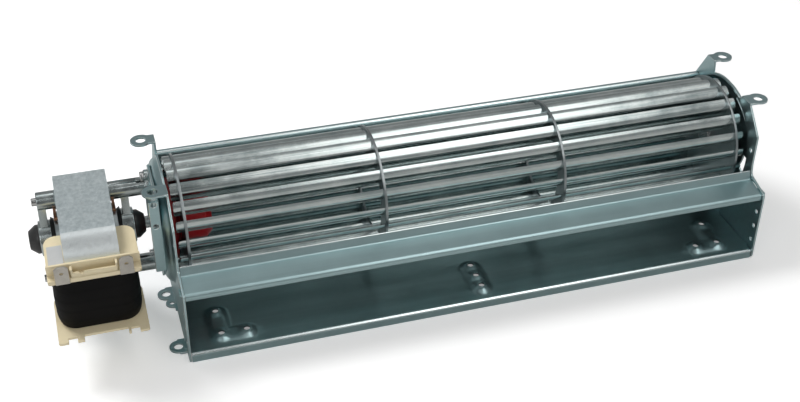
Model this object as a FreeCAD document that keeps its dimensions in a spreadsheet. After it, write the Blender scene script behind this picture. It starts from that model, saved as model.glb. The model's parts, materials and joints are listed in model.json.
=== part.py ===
"""Cross flow fan: a sheet steel casing, a bladed aluminium roller and a shaded pole motor.

X runs along the shaft with the motor at the negative end, the outlet mouth faces -Y
and +Z is up. The origin is the centre of the four foot holes, on the supporting
surface. Sections are drawn about the shaft axis and each finished piece is moved to it.
"""
import FreeCAD, Part
import math
import os
import re

from FreeCAD import Placement, Rotation, Vector

doc = FreeCAD.newDocument("CrossFlowFan")
sizes = doc.addObject("Spreadsheet::Sheet", "Sizes")

# Driving dimensions in millimetres, angles in degrees
DIMENSIONS = [
    ("casing_width", 300.0, "clear width between the side plates"),
    ("axis_height", 49.0, "shaft axis above the supporting surface"),
    ("shell_sheet", 0.9, "thickness of the scroll and deflector sheet"),
    ("plate_sheet", 1.0, "thickness of the side plates"),
    ("scroll_start_radius", 32.6, "inner radius of the scroll at its curled edge"),
    ("scroll_start_angle", 33.5, "where the curled edge lies, above the rear"),
    ("curl_radius", 2.1, "outer radius of the curled rear edge"),
    ("floor_rise", 5.0, "inner face of the floor above the supporting surface"),
    ("mouth_front", 51.8, "front face of the floor's lip in front of the axis"),
    ("lip_bend", 1.3, "bend radius of the floor's lip"),
    ("pad_rise", 1.5, "height of the pressed pads in the floor"),
    ("pad_radius", 5.6, "half width of a pressed pad"),
    ("pad_hole_radius", 1.6, "screw hole in a pad"),
    ("pad_column_inset", 16.0, "outer pad holes from the side plates"),
    ("pad_inner_inset", 28.5, "inner pad holes from the side plates"),
    ("pad_front_y", 42.5, "front row of pad holes in front of the axis"),
    ("pad_back_y", 25.5, "back row of pad holes in front of the axis"),
    ("deflector_edge_y", 36.7, "deflector's upper edge in front of the axis"),
    ("deflector_edge_z", 2.8, "deflector's upper edge below the axis"),
    ("deflector_valley_y", 38.3, "deflector's crease in front of the axis"),
    ("deflector_valley_z", 7.4, "deflector's crease below the axis"),
    ("deflector_front_y", 51.2, "deflector's front hem in front of the axis"),
    ("deflector_front_z", 10.0, "deflector's front hem below the axis"),
    ("dish_radius", 31.0, "radius of the pressed dish at the plate"),
    ("dish_face_radius", 28.6, "radius of the dish at its face"),
    ("left_dish_depth", 3.8, "how far the motor side dish stands out"),
    ("right_dish_depth", 3.6, "how far the tail side dish stands out"),
    ("plate_top_radius", 32.0, "outline of the plates above the dish"),
    ("plate_front", 52.2, "front edge of the plates in front of the axis"),
    ("plate_rear", 38.0, "foot of the rear edge behind the axis"),
    ("plate_rear_bulge", 45.0, "rear edge's reach behind the axis"),
    ("rear_head_y", 36.0, "upper end of the rear edge behind the axis"),
    ("rear_head_z", 13.5, "upper end of the rear edge above the axis"),
    ("rear_neck_y", 30.9, "bend of the outline below the rear ear, behind the axis"),
    ("rear_neck_z", 20.8, "bend of the outline below the rear ear, above the axis"),
    ("ear_radius", 5.0, "rounded end of the upper ears"),
    ("ear_hole_radius", 2.4, "hole in an upper ear"),
    ("ear_reach", 6.8, "upper ear holes outside the plates' inner faces"),
    ("rear_ear_y", 17.8, "rear ear behind the axis"),
    ("rear_ear_z", 35.7, "top of the rear ear above the axis"),
    ("front_ear_y", 21.2, "front ear in front of the axis"),
    ("front_ear_z", 31.2, "top of the front ear above the axis"),
    ("foot_radius", 4.4, "rounded end of the feet"),
    ("foot_hole_radius", 2.2, "hole in a foot"),
    ("foot_reach", 4.6, "foot holes outside the plates' inner faces"),
    ("front_foot_y", 39.4, "front foot in front of the axis"),
    ("rear_foot_y", 2.4, "rear foot behind the axis"),
    ("lobe_radius", 3.1, "rounded end of the small lobe beside a rear foot"),
    ("lobe_reach", 2.8, "the lobe's hole outside the plates' inner faces"),
    ("lobe_offset", 8.0, "the lobe in front of the rear foot"),
    ("pin_hole_radius", 1.2, "small locating holes in the plates"),
    ("strip_hole_y", 33.4, "hole beside the dish in front of the axis"),
    ("strip_hole_z", 7.6, "hole beside the dish above the axis"),
    ("mouth_hole_inset", 3.4, "mouth holes behind the plates' front edge"),
    ("mouth_hole_z", 21.0, "uppermost mouth hole below the axis"),
    ("mouth_hole_pitch", 8.9, "distance between the mouth holes"),
    ("ring_radius", 31.3, "outer radius of the roller's discs"),
    ("ring_inner_radius", 22.6, "opening of the roller's middle rings"),
    ("ring_sheet", 1.3, "thickness of the discs and rings"),
    ("end_ring_inset", 6.2, "end discs from the side plates"),
    ("middle_ring_share", 0.1563, "middle rings from the roller's middle, as a share of the width"),
    ("blade_count", 20, "blades round the roller"),
    ("blade_end_room", 1.8, "blades' ends from the side plates"),
    ("blade_tip_radius", 30.0, "outer edge of the blades"),
    ("blade_root_radius", 23.8, "inner edge of the blades"),
    ("blade_lean", 12.5, "how far a blade's tip leads its root"),
    ("blade_camber_radius", 5.4, "radius of a blade's curve"),
    ("blade_sheet", 0.5, "thickness of a blade"),
    ("slot_clearance", 0.05, "room round a blade in its slots"),
    ("shaft_radius", 3.0, "motor shaft"),
    ("shaft_running_fit", 0.03, "radial room of a shaft in its bearing"),
    ("motor_reach", 37.9, "middle of the lamination pack from the side plate"),
    ("motor_tilt", 9.0, "how far the coil end hangs below level"),
    ("stack", 24.6, "length of the lamination pack"),
    ("core_height", 49.8, "height of the stator core"),
    ("core_back", 19.1, "rotor end of the core behind the axis"),
    ("core_front", 40.5, "coil end of the core in front of the axis"),
    ("core_bend", 18.5, "outer radius of the core's coil end"),
    ("core_chamfer", 4.0, "chamfer of the core's rotor end"),
    ("window_half", 16.7, "half height of the coil window"),
    ("window_back", 21.0, "rotor side of the coil window"),
    ("limb", 11.0, "thickness of the limb inside the coil"),
    ("bore_radius", 12.9, "stator bore"),
    ("air_gap", 0.45, "gap between the rotor and the bore"),
    ("shading_wire", 1.0, "wire radius of the shading rings"),
    ("bobbin_wall", 1.0, "wall of the bobbin's tube"),
    ("bobbin_flange", 1.5, "thickness of the bobbin's flanges"),
    ("bobbin_width", 41.4, "width of the bobbin's flanges"),
    ("upper_flange_back", 16.8, "rear edge of the upper flange in front of the axis"),
    ("lower_flange_back", 23.7, "rear edge of the lower flange in front of the axis"),
    ("upper_flange_front", 46.4, "front edge of the upper flange"),
    ("lower_flange_front", 54.6, "front edge of the lower flange"),
    ("coil_build", 6.3, "thickness of the winding on the bobbin's tube"),
    ("coil_corner", 9.0, "corner radius of the winding"),
    ("tab_width", 6.3, "width of a blade terminal"),
    ("tab_sheet", 0.8, "thickness of a blade terminal"),
    ("tab_top", 26.2, "top of the terminals above the coil's middle"),
    ("tab_inset", 6.5, "terminals inside the ends of the bobbin's flanges"),
    ("post_radius", 4.4, "posts of the bearing brackets"),
    ("screw_radius", 1.9, "long screws through the core"),
    ("screw_head_radius", 2.7, "heads of the screws in the motor's feet"),
    ("upper_post_y", 5.5, "upper post behind the axis"),
    ("lower_post_y", 8.1, "lower post in front of the axis"),
    ("post_z", 19.0, "posts above and below the axis"),
    ("bracket_standoff", 5.2, "bracket arms clear of the lamination pack"),
    ("arm_depth", 3.6, "thickness of a bracket's arm along the shaft"),
    ("arm_width", 7.0, "width of a bracket's arm"),
    ("housing_radius", 8.6, "bearing housing in the bracket"),
    ("sleeve_radius", 5.5, "outer radius of a sleeve bearing"),
    ("sleeve_length", 7.0, "length of a sleeve bearing"),
    ("retainer_radius", 9.8, "bearing retainer on a housing's inner face"),
    ("cap_radius", 7.0, "bearing cap at the housing"),
    ("cap_tip_radius", 4.4, "bearing cap at its tip"),
    ("cap_length", 5.0, "length of a bearing cap"),
    ("mount_sheet", 1.2, "thickness of the motor mount"),
    ("mount_flange", 3.6, "depth of the motor mount's flanges"),
    ("mount_front", 24.0, "motor mount in front of the axis"),
    ("mount_rear", 14.0, "motor mount behind the axis"),
    ("mount_top", 28.0, "motor mount above the axis"),
    ("mount_bottom", 26.0, "motor mount below the axis"),
    ("mount_flange_drop", 13.0, "lower end of the mount's front flange below the axis"),
    ("mount_flange_half", 9.0, "half length of the mount's rear flange"),
    ("mount_corner", 8.0, "slanted corners of the mount's rear"),
    ("shaft_opening", 11.0, "opening round the shaft in the mount and the dish"),
    ("hub_radius", 11.6, "body of the flexible coupling"),
    ("hub_flange_radius", 20.0, "flange of the flexible coupling"),
    ("hub_length", 21.0, "reach of the flexible coupling into the roller"),
    ("hub_groove_radius", 9.6, "groove that holds the end disc"),
    ("tail_radius", 3.0, "tail shaft"),
    ("tail_bush_radius", 10.0, "hole for the tail bearing's rubber"),
    ("tab_length", 5.0, "length of the joining tabs at the sheets' ends"),
    ("tab_proud", 0.9, "how far the joining tabs stand out of the plates"),
    ("tab_room", 0.1, "room round a joining tab in its slot"),
]
for row, (alias, value, note) in enumerate(DIMENSIONS, 1):
    sizes.set("A%d" % row, note)
    sizes.set("B%d" % row, str(value))
    sizes.setAlias("B%d" % row, alias)
doc.recompute()

# Places that follow from the driving dimensions
DERIVED = {
    "floor_drop": "(axis_height - floor_rise)",
    "pad_column_x": "(casing_width / 2 - pad_column_inset)",
    "pad_inner_x": "(casing_width / 2 - pad_inner_inset)",
    "end_ring_x": "(casing_width / 2 - end_ring_inset)",
    "middle_ring_x": "(casing_width * middle_ring_share)",
    "blade_length": "(casing_width - 2 * blade_end_room)",
    "motor_x": "(casing_width / 2 + motor_reach)",
    "tab_spacing": "(bobbin_width - 2 * tab_inset)",
}
NAMES = sorted((alias for alias, _, _ in DIMENSIONS), key=len, reverse=True)
NAME_PATTERN = re.compile(r"\b(%s)\b" % "|".join(NAMES))
DERIVED_PATTERN = re.compile(r"\b(%s)\b" % "|".join(DERIVED))
AXIS_BACK = "(front_foot_y - rear_foot_y) / 2"
finished = []


# Reading and binding the sizes

def spelled_out(text):
    """A formula with its derived names written out in driving dimensions."""
    return DERIVED_PATTERN.sub(lambda found: DERIVED[found.group()], text)


def size(name):
    """The value of one driving or derived dimension."""
    if name in DERIVED:
        return evaluate(name)
    return float(sizes.get(name))


def bind(obj, prop, text):
    """Tie one property to the sheet; text is a formula of the sheet's names."""
    obj.setExpression(prop, NAME_PATTERN.sub(r"Sizes.\1", spelled_out(text)))


def place(obj, x="0", y="0", z="0"):
    """Tie an object's position to the sheet."""
    for axis, text in zip("xyz", (x, y, z)):
        bind(obj, "Placement.Base." + axis, text)
    return obj


# Building blocks

def block(name, dims, corner):
    """A box with its lowest corner at the given place."""
    obj = doc.addObject("Part::Box", name)
    for prop, text in zip(("Length", "Width", "Height"), dims):
        bind(obj, prop, text)
    return place(obj, *corner)


def rod(name, radius, length, x, y="0", z="0"):
    """A cylinder along +X that starts at x."""
    obj = doc.addObject("Part::Cylinder", name)
    obj.Placement = Placement(Vector(), Rotation(Vector(0, 1, 0), 90))
    bind(obj, "Radius", radius)
    bind(obj, "Height", length)
    return place(obj, x, y, z)


def peg(name, radius, height, x, y, z):
    """A cylinder along +Z that starts at z."""
    obj = doc.addObject("Part::Cylinder", name)
    bind(obj, "Radius", radius)
    bind(obj, "Height", height)
    return place(obj, x, y, z)


def fuse(name, shapes):
    obj = doc.addObject("Part::MultiFuse", name)
    obj.Shapes = shapes
    obj.Refine = True
    return obj


def cut(name, base, tools):
    """Take the tools away from the base."""
    tool = tools[0] if len(tools) == 1 else fuse(name + "_tools", tools)
    obj = doc.addObject("Part::Cut", name)
    obj.Base = base
    obj.Tool = tool
    return obj


def mirrored(name, source):
    """The source's mirror image across the casing's middle."""
    obj = doc.addObject("Part::Mirroring", name)
    obj.Source = source
    obj.Normal = Vector(1, 0, 0)
    return obj


def group(name, links):
    obj = doc.addObject("Part::Compound", name)
    obj.Links = links
    return obj


def raw(name, shape):
    obj = doc.addObject("Part::Feature", name)
    obj.Shape = shape
    return obj


def extruded(name, face, length, x):
    """A section in the YZ plane pushed along +X from x."""
    obj = doc.addObject("Part::Extrusion", name)
    obj.Base = raw(name + "_section", face)
    obj.DirMode = "Custom"
    obj.Dir = Vector(1, 0, 0)
    obj.Solid = True
    bind(obj, "LengthFwd", length)
    return place(obj, x)


def turned(name, profile):
    """A body turned about the shaft from a closed profile of (x, radius) formulas."""
    body = doc.addObject("PartDesign::Body", name)
    sketch = body.newObject("Sketcher::SketchObject", name + "_profile")
    plane = [f for f in body.Origin.OriginFeatures if f.Role == "XZ_Plane"][0]
    sketch.AttachmentSupport = (plane, [""])
    sketch.MapMode = "FlatFace"
    points = [(evaluate(x), evaluate(radius)) for x, radius in profile]
    count = len(points)
    for index, (x, radius) in enumerate(points):
        following = points[(index + 1) % count]
        sketch.addGeometry(Part.LineSegment(Vector(x, radius, 0), Vector(*following, 0)))
    for index in range(count):
        sketch.addConstraint(constraint("Coincident", index, 2, (index + 1) % count, 1))
    for index, formulas in enumerate(profile):
        for kind, value, text in zip(("DistanceX", "DistanceY"), points[index], formulas):
            number = sketch.addConstraint(constraint(kind, -1, 1, index, 1, value))
            bind(sketch, "Constraints[%d]" % number, text)
    turn = body.newObject("PartDesign::Revolution", name + "_turn")
    turn.Profile = sketch
    turn.ReferenceAxis = (sketch, ["H_Axis"])
    turn.Angle = 360
    body.Tip = turn
    return body


def constraint(*terms):
    import Sketcher
    return Sketcher.Constraint(*terms)


def evaluate(text):
    """The present value of a formula of the sheet's names."""
    probe = spelled_out(text)
    for name in NAMES:
        probe = re.sub(r"\b%s\b" % name, repr(size(name)), probe)
    return float(FreeCAD.Units.Quantity(probe).Value)


def finish(label, obj, tilted=False):
    """Name a finished piece, move it to the shaft's place and, on the motor, tilt it."""
    if tilted:
        obj.Placement = Placement(Vector(), Rotation(Vector(1, 0, 0), size("motor_tilt")))
        bind(obj, "Placement.Rotation.Angle", "motor_tilt * 1 deg")
    bind(obj, "Placement.Base.y", AXIS_BACK)
    bind(obj, "Placement.Base.z", "axis_height")
    obj.Label = label
    finished.append(obj)
    return obj


# Plane curves

def rounded_path(points):
    """Edges through (a, b, radius) points in a plane, each inner corner rounded."""
    edges = []
    last = Vector(points[0][0], points[0][1], 0)
    for before, corner, after in zip(points, points[1:], points[2:]):
        here = Vector(corner[0], corner[1], 0)
        back = (Vector(before[0], before[1], 0) - here).normalize()
        ahead = (Vector(after[0], after[1], 0) - here).normalize()
        half = back.getAngle(ahead) / 2
        radius = corner[2]
        if radius > 0:
            reach = radius / math.tan(half)
            start = here + back * reach
            end = here + ahead * reach
            bisector = (back + ahead).normalize()
            middle = here + bisector * (radius / math.sin(half) - radius)
            if (start - last).Length > 1e-6:
                edges.append(Part.makeLine(last, start))
            edges.append(Part.Arc(start, middle, end).toShape())
            last = end
        else:
            edges.append(Part.makeLine(last, here))
            last = here
    edges.append(Part.makeLine(last, Vector(points[-1][0], points[-1][1], 0)))
    return edges


def shifted(points, distance):
    """The same path moved sideways to its left, with its bends kept concentric."""
    normals = []
    for first, second in zip(points, points[1:]):
        run = Vector(second[0] - first[0], second[1] - first[1], 0).normalize()
        normals.append(Vector(-run.y, run.x, 0))
    moved = [Vector(points[0][0], points[0][1], 0) + normals[0] * distance]
    radii = [0]
    for point, before, after in zip(points[1:-1], normals, normals[1:]):
        mitre = (before + after).normalize()
        mitre.multiply(distance / mitre.dot(before))
        moved.append(Vector(point[0], point[1], 0) + mitre)
        turn = before.cross(after).z
        radii.append(max(point[2] - math.copysign(distance, turn), 0) if point[2] else 0)
    moved.append(Vector(points[-1][0], points[-1][1], 0) + normals[-1] * distance)
    radii.append(0)
    return [(p.x, p.y, r) for p, r in zip(moved, radii)]


def sheet_section(points, thickness):
    """A face that follows a path's line, half the thickness on each side of it."""
    left = shifted(points, thickness / 2)
    right = shifted(points, -thickness / 2)
    edges = rounded_path(left)
    edges.append(Part.makeLine(flat(left[-1]), flat(right[-1])))
    edges += rounded_path(right)
    edges.append(Part.makeLine(flat(right[0]), flat(left[0])))
    return Part.Face(Part.Wire(Part.__sortEdges__(edges)))


def flat(point):
    return Vector(point[0], point[1], 0)


def closed_outline(points):
    """A face inside a closed polygon of (a, b, radius) corners."""
    first, second = points[0], points[1]
    middle = ((first[0] + second[0]) / 2, (first[1] + second[1]) / 2, 0)
    path = [middle] + points[1:] + [first, middle]
    return Part.Face(Part.Wire(Part.__sortEdges__(rounded_path(path))))


def across(face):
    """Stand a drawn plane up as the YZ plane: drawn a is Y and drawn b is Z."""
    turned_face = face.copy()
    turned_face.Placement = Placement(Vector(), Rotation(Vector(1, 1, 1), 120)).multiply(face.Placement)
    return turned_face


def obround(name, radius, height, x, y, z, to_x, to_y):
    """A round ended bar of constant height between two points of a level plane."""
    ends = [peg(name + "_a", radius, height, x, y, z), peg(name + "_b", radius, height, to_x, to_y, z)]
    along_x = evaluate("%s - (%s)" % (to_x, x))
    if abs(along_x) > 0:
        corner = (x, "%s - %s" % (y, radius), z)
        bar = block(name + "_bar", ("%s - (%s)" % (to_x, x), "2 * " + radius, height), corner)
    else:
        corner = ("%s - %s" % (x, radius), y, z)
        bar = block(name + "_bar", ("2 * " + radius, "%s - (%s)" % (to_y, y), height), corner)
    return fuse(name, ends + [bar])


# Scroll casing: curled rear edge, spiral rear wall, floor with pressed pads, folded lip

def spiral_growth():
    """The growth rate at which the spiral's lowest point meets the floor."""
    growth = 0.1
    for _ in range(30):
        slope = math.atan(growth)
        sweep = math.radians(size("scroll_start_angle") + 90) + slope
        lowest = size("floor_drop") / math.cos(slope)
        growth = math.log(lowest / size("scroll_start_radius")) / sweep
    return growth


def spiral_point(share, offset):
    """A point of the scroll wall, from 0 at the curled edge to 1 at the floor."""
    growth = spiral_growth()
    start = math.radians(size("scroll_start_angle"))
    turned_by = (start + math.pi / 2 + math.atan(growth)) * share
    angle = start - turned_by
    outward = angle + math.atan(growth)
    radius = size("scroll_start_radius") * math.exp(growth * turned_by)
    return Vector(radius * math.cos(angle) + offset * math.cos(outward),
                  radius * math.sin(angle) + offset * math.sin(outward), 0)


def scroll_wall():
    """The face of the spiral wall, drawn as arcs that end level at the floor."""
    arcs = 4
    edges = []
    for offset in (0, size("shell_sheet")):
        for number in range(arcs):
            shares = (number / arcs, (number + 0.5) / arcs, (number + 1) / arcs)
            edges.append(Part.Arc(*[spiral_point(share, offset) for share in shares]).toShape())
    for share in (0, 1):
        edges.append(Part.makeLine(spiral_point(share, 0), spiral_point(share, size("shell_sheet"))))
    return Part.Face(Part.Wire(Part.__sortEdges__(edges)))


def curled_edge():
    """The face of the rolled edge: most of a ring that starts on the wall's top."""
    sheet_size = size("shell_sheet")
    radius = size("curl_radius")
    lean = math.radians(size("scroll_start_angle")) + math.atan(spiral_growth())
    outward = Vector(math.cos(lean), math.sin(lean), 0)
    top = spiral_point(0, 0)
    centre = top + outward * radius
    opened = math.radians(300)
    first = lean + math.pi

    def ring_point(distance, turned_by):
        angle = first - turned_by
        return centre + Vector(math.cos(angle), math.sin(angle), 0) * distance

    hollow = radius - sheet_size
    edges = [
        Part.Arc(ring_point(radius, 0), ring_point(radius, opened / 2), ring_point(radius, opened)).toShape(),
        Part.makeLine(ring_point(radius, opened), ring_point(hollow, opened)),
        Part.Arc(ring_point(hollow, opened), ring_point(hollow, opened / 2), ring_point(hollow, 0)).toShape(),
        Part.makeLine(ring_point(hollow, 0), ring_point(radius, 0)),
    ]
    return Part.Face(Part.Wire(Part.__sortEdges__(edges)))


def floor_section():
    middle = size("shell_sheet") / 2
    level = -size("floor_drop") - middle
    front = -size("mouth_front") + middle
    back = spiral_point(1, 0).x
    return sheet_section([(front, -size("axis_height"), 0), (front, level, size("lip_bend")),
                          (back, level, 0)], size("shell_sheet"))


PAD_FLOOR = "-floor_drop - shell_sheet"
PAD_RUNS = {
    "middle_pad": [("0", "-pad_front_y", "0", "-pad_back_y")],
    "left_pad": [("-pad_column_x", "-pad_front_y", "-pad_column_x", "-pad_back_y"),
                 ("-pad_column_x", "-pad_front_y", "-pad_inner_x", "-pad_front_y")],
    "right_pad": [("pad_column_x", "-pad_front_y", "pad_column_x", "-pad_back_y"),
                  ("pad_inner_x", "-pad_front_y", "pad_column_x", "-pad_front_y")],
}
PAD_HOLES = [
    ("0", "-pad_front_y"), ("0", "-(pad_front_y + pad_back_y) / 2"), ("0", "-pad_back_y"),
    ("-pad_column_x", "-pad_front_y"), ("-pad_column_x", "-pad_back_y"), ("-pad_inner_x", "-pad_front_y"),
    ("pad_column_x", "-pad_front_y"), ("pad_column_x", "-pad_back_y"), ("pad_inner_x", "-pad_front_y"),
]


def joining_tabs():
    """Where the sheets' ends pass through the plates: (y, z, direction in degrees)."""
    growth = spiral_growth()
    level = -size("floor_drop") - size("shell_sheet") / 2
    crease = (-size("deflector_valley_y"), -size("deflector_valley_z"))
    hem = (-size("deflector_front_y"), -size("deflector_front_z"))
    fall = math.degrees(math.atan2(hem[1] - crease[1], hem[0] - crease[0]))
    places = [(-size("mouth_front") + 8.0, level, 0.0), (-14.0, level, 0.0)]
    for share in (0.34, 0.8):
        y = crease[0] + share * (hem[0] - crease[0])
        z = crease[1] + share * (hem[1] - crease[1])
        places.append((y, z, fall))
    for turned_by in (math.radians(38), math.radians(84)):
        angle = math.radians(size("scroll_start_angle")) - turned_by
        radius = size("scroll_start_radius") * math.exp(growth * turned_by) + size("shell_sheet") / 2
        places.append((radius * math.cos(angle), radius * math.sin(angle),
                       math.degrees(angle + math.atan(growth)) - 90))
    return places


def tab_bars(name, thickness, length, reach, x):
    """Flat bars along +X, one at each joining tab."""
    faces = []
    for y, z, degrees in joining_tabs():
        face = Part.Face(Part.makePolygon([
            Vector(-length / 2, -thickness / 2, 0), Vector(length / 2, -thickness / 2, 0),
            Vector(length / 2, thickness / 2, 0), Vector(-length / 2, thickness / 2, 0),
            Vector(-length / 2, -thickness / 2, 0)]))
        face.rotate(Vector(), Vector(0, 0, 1), degrees)
        face.translate(Vector(y, z, 0))
        faces.append(across(face))
    return extruded(name, Part.makeCompound(faces), reach, x)


def trimmed_sheet(name, shells):
    """Take the sheets' ends back to the plates' inner faces, but for the joining tabs."""
    trims = []
    for side, x in (("left", "-casing_width / 2 - 4"), ("right", "casing_width / 2")):
        slab = block("%s_%s_slab" % (name, side), ("4", "140", "140"), (x, "-70", "-70"))
        bars = tab_bars("%s_%s_bars" % (name, side), 3.0, size("tab_length"), "8", x + " - 2")
        trims.append(cut("%s_%s_trim" % (name, side), slab, [bars]))
    return cut(name + "_trimmed", shells, trims)


TAB_REACH = "(plate_sheet + tab_proud)"


def make_scroll_casing():
    length, start = "casing_width + 2 * " + TAB_REACH, "-casing_width / 2 - " + TAB_REACH
    sections = (("wall", scroll_wall()), ("curl", curled_edge()), ("floor", floor_section()))
    sheets = [extruded("scroll_" + part, across(face), length, start) for part, face in sections]
    shells = [trimmed_sheet("scroll", fuse("scroll_sheets", sheets))]
    raised = []
    hollows = []
    for pad, runs in PAD_RUNS.items():
        for number, (x, y, to_x, to_y) in enumerate(runs):
            name = "%s_%d" % (pad, number)
            raised.append(obround(name, "pad_radius", "pad_rise + shell_sheet", x, y, PAD_FLOOR, to_x, to_y))
            hollows.append(obround(name + "_hollow", "(pad_radius - shell_sheet)", "pad_rise",
                                   x, y, PAD_FLOOR, to_x, to_y))
    for number, (x, y) in enumerate(PAD_HOLES):
        hollows.append(peg("pad_hole_%d" % number, "pad_hole_radius", "3 * pad_rise + 3 * shell_sheet",
                           x, y, PAD_FLOOR))
    shell = fuse("casing_shell", shells + raised)
    return finish("scroll_casing", cut("scroll_casing", shell, hollows))


def make_deflector():
    """Front sheet: a rolled upper edge, a crease, a sloping face and a hem."""
    thickness = size("shell_sheet")
    edge_y, edge_z = -size("deflector_edge_y"), -size("deflector_edge_z")
    front_y, front_z = -size("deflector_front_y"), -size("deflector_front_z")
    return_flange = 6.0
    hem = 2.2
    path = [
        (edge_y + 1.2, edge_z - return_flange, 0),
        (edge_y, edge_z, 1.0),
        (-size("deflector_valley_y"), -size("deflector_valley_z"), 1.6),
        (front_y + thickness / 2, front_z + thickness / 2, 0.9),
        (front_y + thickness / 2 + 0.4, front_z - hem, 0),
    ]
    section = sheet_section(path, thickness)
    length, start = "casing_width + 2 * " + TAB_REACH, "-casing_width / 2 - " + TAB_REACH
    sheet = extruded("deflector_sheet", across(section), length, start)
    return finish("front_deflector", trimmed_sheet("deflector", sheet))


# Side plates: outline, pressed dish, ears, feet and holes

def plate_outline():
    """The outer edge of a side plate as a face; the top follows the dish."""
    bottom = -size("axis_height")
    front = -size("plate_front")
    brow = 1.3
    tip = (front, -size("deflector_front_z") + brow)
    shoulder = (-size("deflector_valley_y") + 0.6, -size("deflector_valley_z") + 2 * brow)
    strip = -size("deflector_edge_y") - 0.3
    top = size("plate_top_radius")
    ear_y, ear_z = -size("front_ear_y"), size("front_ear_z") - 1.5
    arc_start = Vector(ear_y + 7.2, math.sqrt(top ** 2 - (ear_y + 7.2) ** 2), 0)
    arc_end = Vector(size("rear_ear_y") - 4.3, math.sqrt(top ** 2 - (size("rear_ear_y") - 4.3) ** 2), 0)
    arc = Part.Arc(arc_start, Vector(0, top, 0), arc_end).toShape()
    rear_foot = Vector(size("plate_rear"), bottom, 0)
    rear_head = Vector(size("rear_head_y"), size("rear_head_z"), 0)
    rear = Part.Arc(rear_head, Vector(size("plate_rear_bulge"), -12.0, 0), rear_foot).toShape()
    first = rounded_path([
        (rear_foot.x, rear_foot.y, 0), (front, bottom, 1.5), (tip[0], tip[1], 1.2),
        (shoulder[0], shoulder[1], 2.0), (strip, 1.0, 1.0), (strip, 17.2, 2.5),
        (ear_y - 6.6, ear_z - 2.1, 2.0), (ear_y - 4.5, ear_z, 0), (ear_y + 4.5, ear_z, 0.8),
        (arc_start.x, arc_start.y, 0)])
    ear_rise = size("rear_ear_z")
    last = rounded_path([
        (arc_end.x, arc_end.y, 0), (size("rear_ear_y") - 3.7, ear_rise, 0),
        (size("rear_ear_y") + 3.7, ear_rise, 0),
        (size("rear_neck_y"), size("rear_neck_z"), 2.0), (rear_head.x, rear_head.y, 0)])
    return Part.Face(Part.Wire(Part.__sortEdges__(first + [arc] + last + [rear])))


def dish(name, depth, opening):
    """The pressed dish as a turned sheet, outwards along +X from the plate's inner face."""
    thickness = size("plate_sheet")
    flat_x = size("casing_width") / 2 + thickness / 2
    foot = Vector(flat_x, size("dish_radius"), 0)
    head = Vector(flat_x + size(depth), size("dish_face_radius"), 0)
    bevel = min(1.4, 0.4 * size(depth))
    bevel_start = head + (foot - head).normalize() * bevel
    path = [
        (flat_x, size("plate_top_radius") - 0.1, 0),
        (foot.x, foot.y, 0),
        (bevel_start.x, bevel_start.y, 0),
        (head.x, head.y - bevel, 0),
        (head.x, size(opening), 0),
    ]
    section = sheet_section(path, thickness)
    section.rotate(Vector(), Vector(1, 0, 0), 90)
    obj = doc.addObject("Part::Revolution", name)
    obj.Source = raw(name + "_section", section)
    obj.Axis = Vector(1, 0, 0)
    obj.Angle = 360
    obj.Solid = True
    return obj


def ear(name, radius, reach, y, top, length_y):
    """A lug folded outwards along +X: a strip with a round end."""
    inner = "casing_width / 2"
    level = "%s - plate_sheet" % top
    arm_corner = (inner, "%s - %s / 2" % (y, length_y), level)
    arm = block(name + "_arm", (reach, length_y, "plate_sheet"), arm_corner)
    end = peg(name + "_end", radius, "plate_sheet", "%s + %s" % (inner, reach), y, level)
    return fuse(name, [arm, end])


def plate_features(prefix):
    """The ears and feet of one side plate, and the tools for its holes."""
    inner = "casing_width / 2"
    foot_top = "plate_sheet - axis_height"
    lugs = [
        ear(prefix + "rear_ear", "ear_radius", "ear_reach", "rear_ear_y", "rear_ear_z", "7.4"),
        ear(prefix + "front_ear", "ear_radius", "ear_reach", "-front_ear_y", "front_ear_z", "9"),
        ear(prefix + "front_foot", "foot_radius", "foot_reach", "-front_foot_y", foot_top, "10.4"),
        ear(prefix + "rear_foot", "foot_radius", "foot_reach", "rear_foot_y", foot_top, "10.4"),
        ear(prefix + "lobe", "lobe_radius", "lobe_reach", "rear_foot_y - lobe_offset", foot_top, "7"),
        block(prefix + "front_ear_neck", ("plate_sheet", "9", "6"),
              (inner, "-front_ear_y - 4.5", "front_ear_z - 6")),
    ]
    room = 2 * size("tab_room")
    holes = [tab_bars(prefix + "tab_slots", size("shell_sheet") + 3 * room, size("tab_length") + room,
                      "plate_sheet + 2", inner + " - 1")]
    for name, radius, reach, y, level in (
            ("rear_ear", "ear_hole_radius", "ear_reach", "rear_ear_y", "rear_ear_z"),
            ("front_ear", "ear_hole_radius", "ear_reach", "-front_ear_y", "front_ear_z"),
            ("front_foot", "foot_hole_radius", "foot_reach", "-front_foot_y", "-axis_height"),
            ("rear_foot", "foot_hole_radius", "foot_reach", "rear_foot_y", "-axis_height"),
            ("lobe", "pin_hole_radius", "lobe_reach", "rear_foot_y - lobe_offset", "-axis_height")):
        holes.append(peg(prefix + name + "_hole", radius, "8", "%s + %s" % (inner, reach), y, level + " - 4"))
    holes.append(rod(prefix + "strip_hole", "pin_hole_radius", "8", inner + " - 4",
                     "-strip_hole_y", "strip_hole_z"))
    for number in range(3):
        holes.append(rod("%smouth_hole_%d" % (prefix, number), "pin_hole_radius", "8", inner + " - 4",
                         "mouth_hole_inset - plate_front", "-mouth_hole_z - %d * mouth_hole_pitch" % number))
    return lugs, holes


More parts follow.
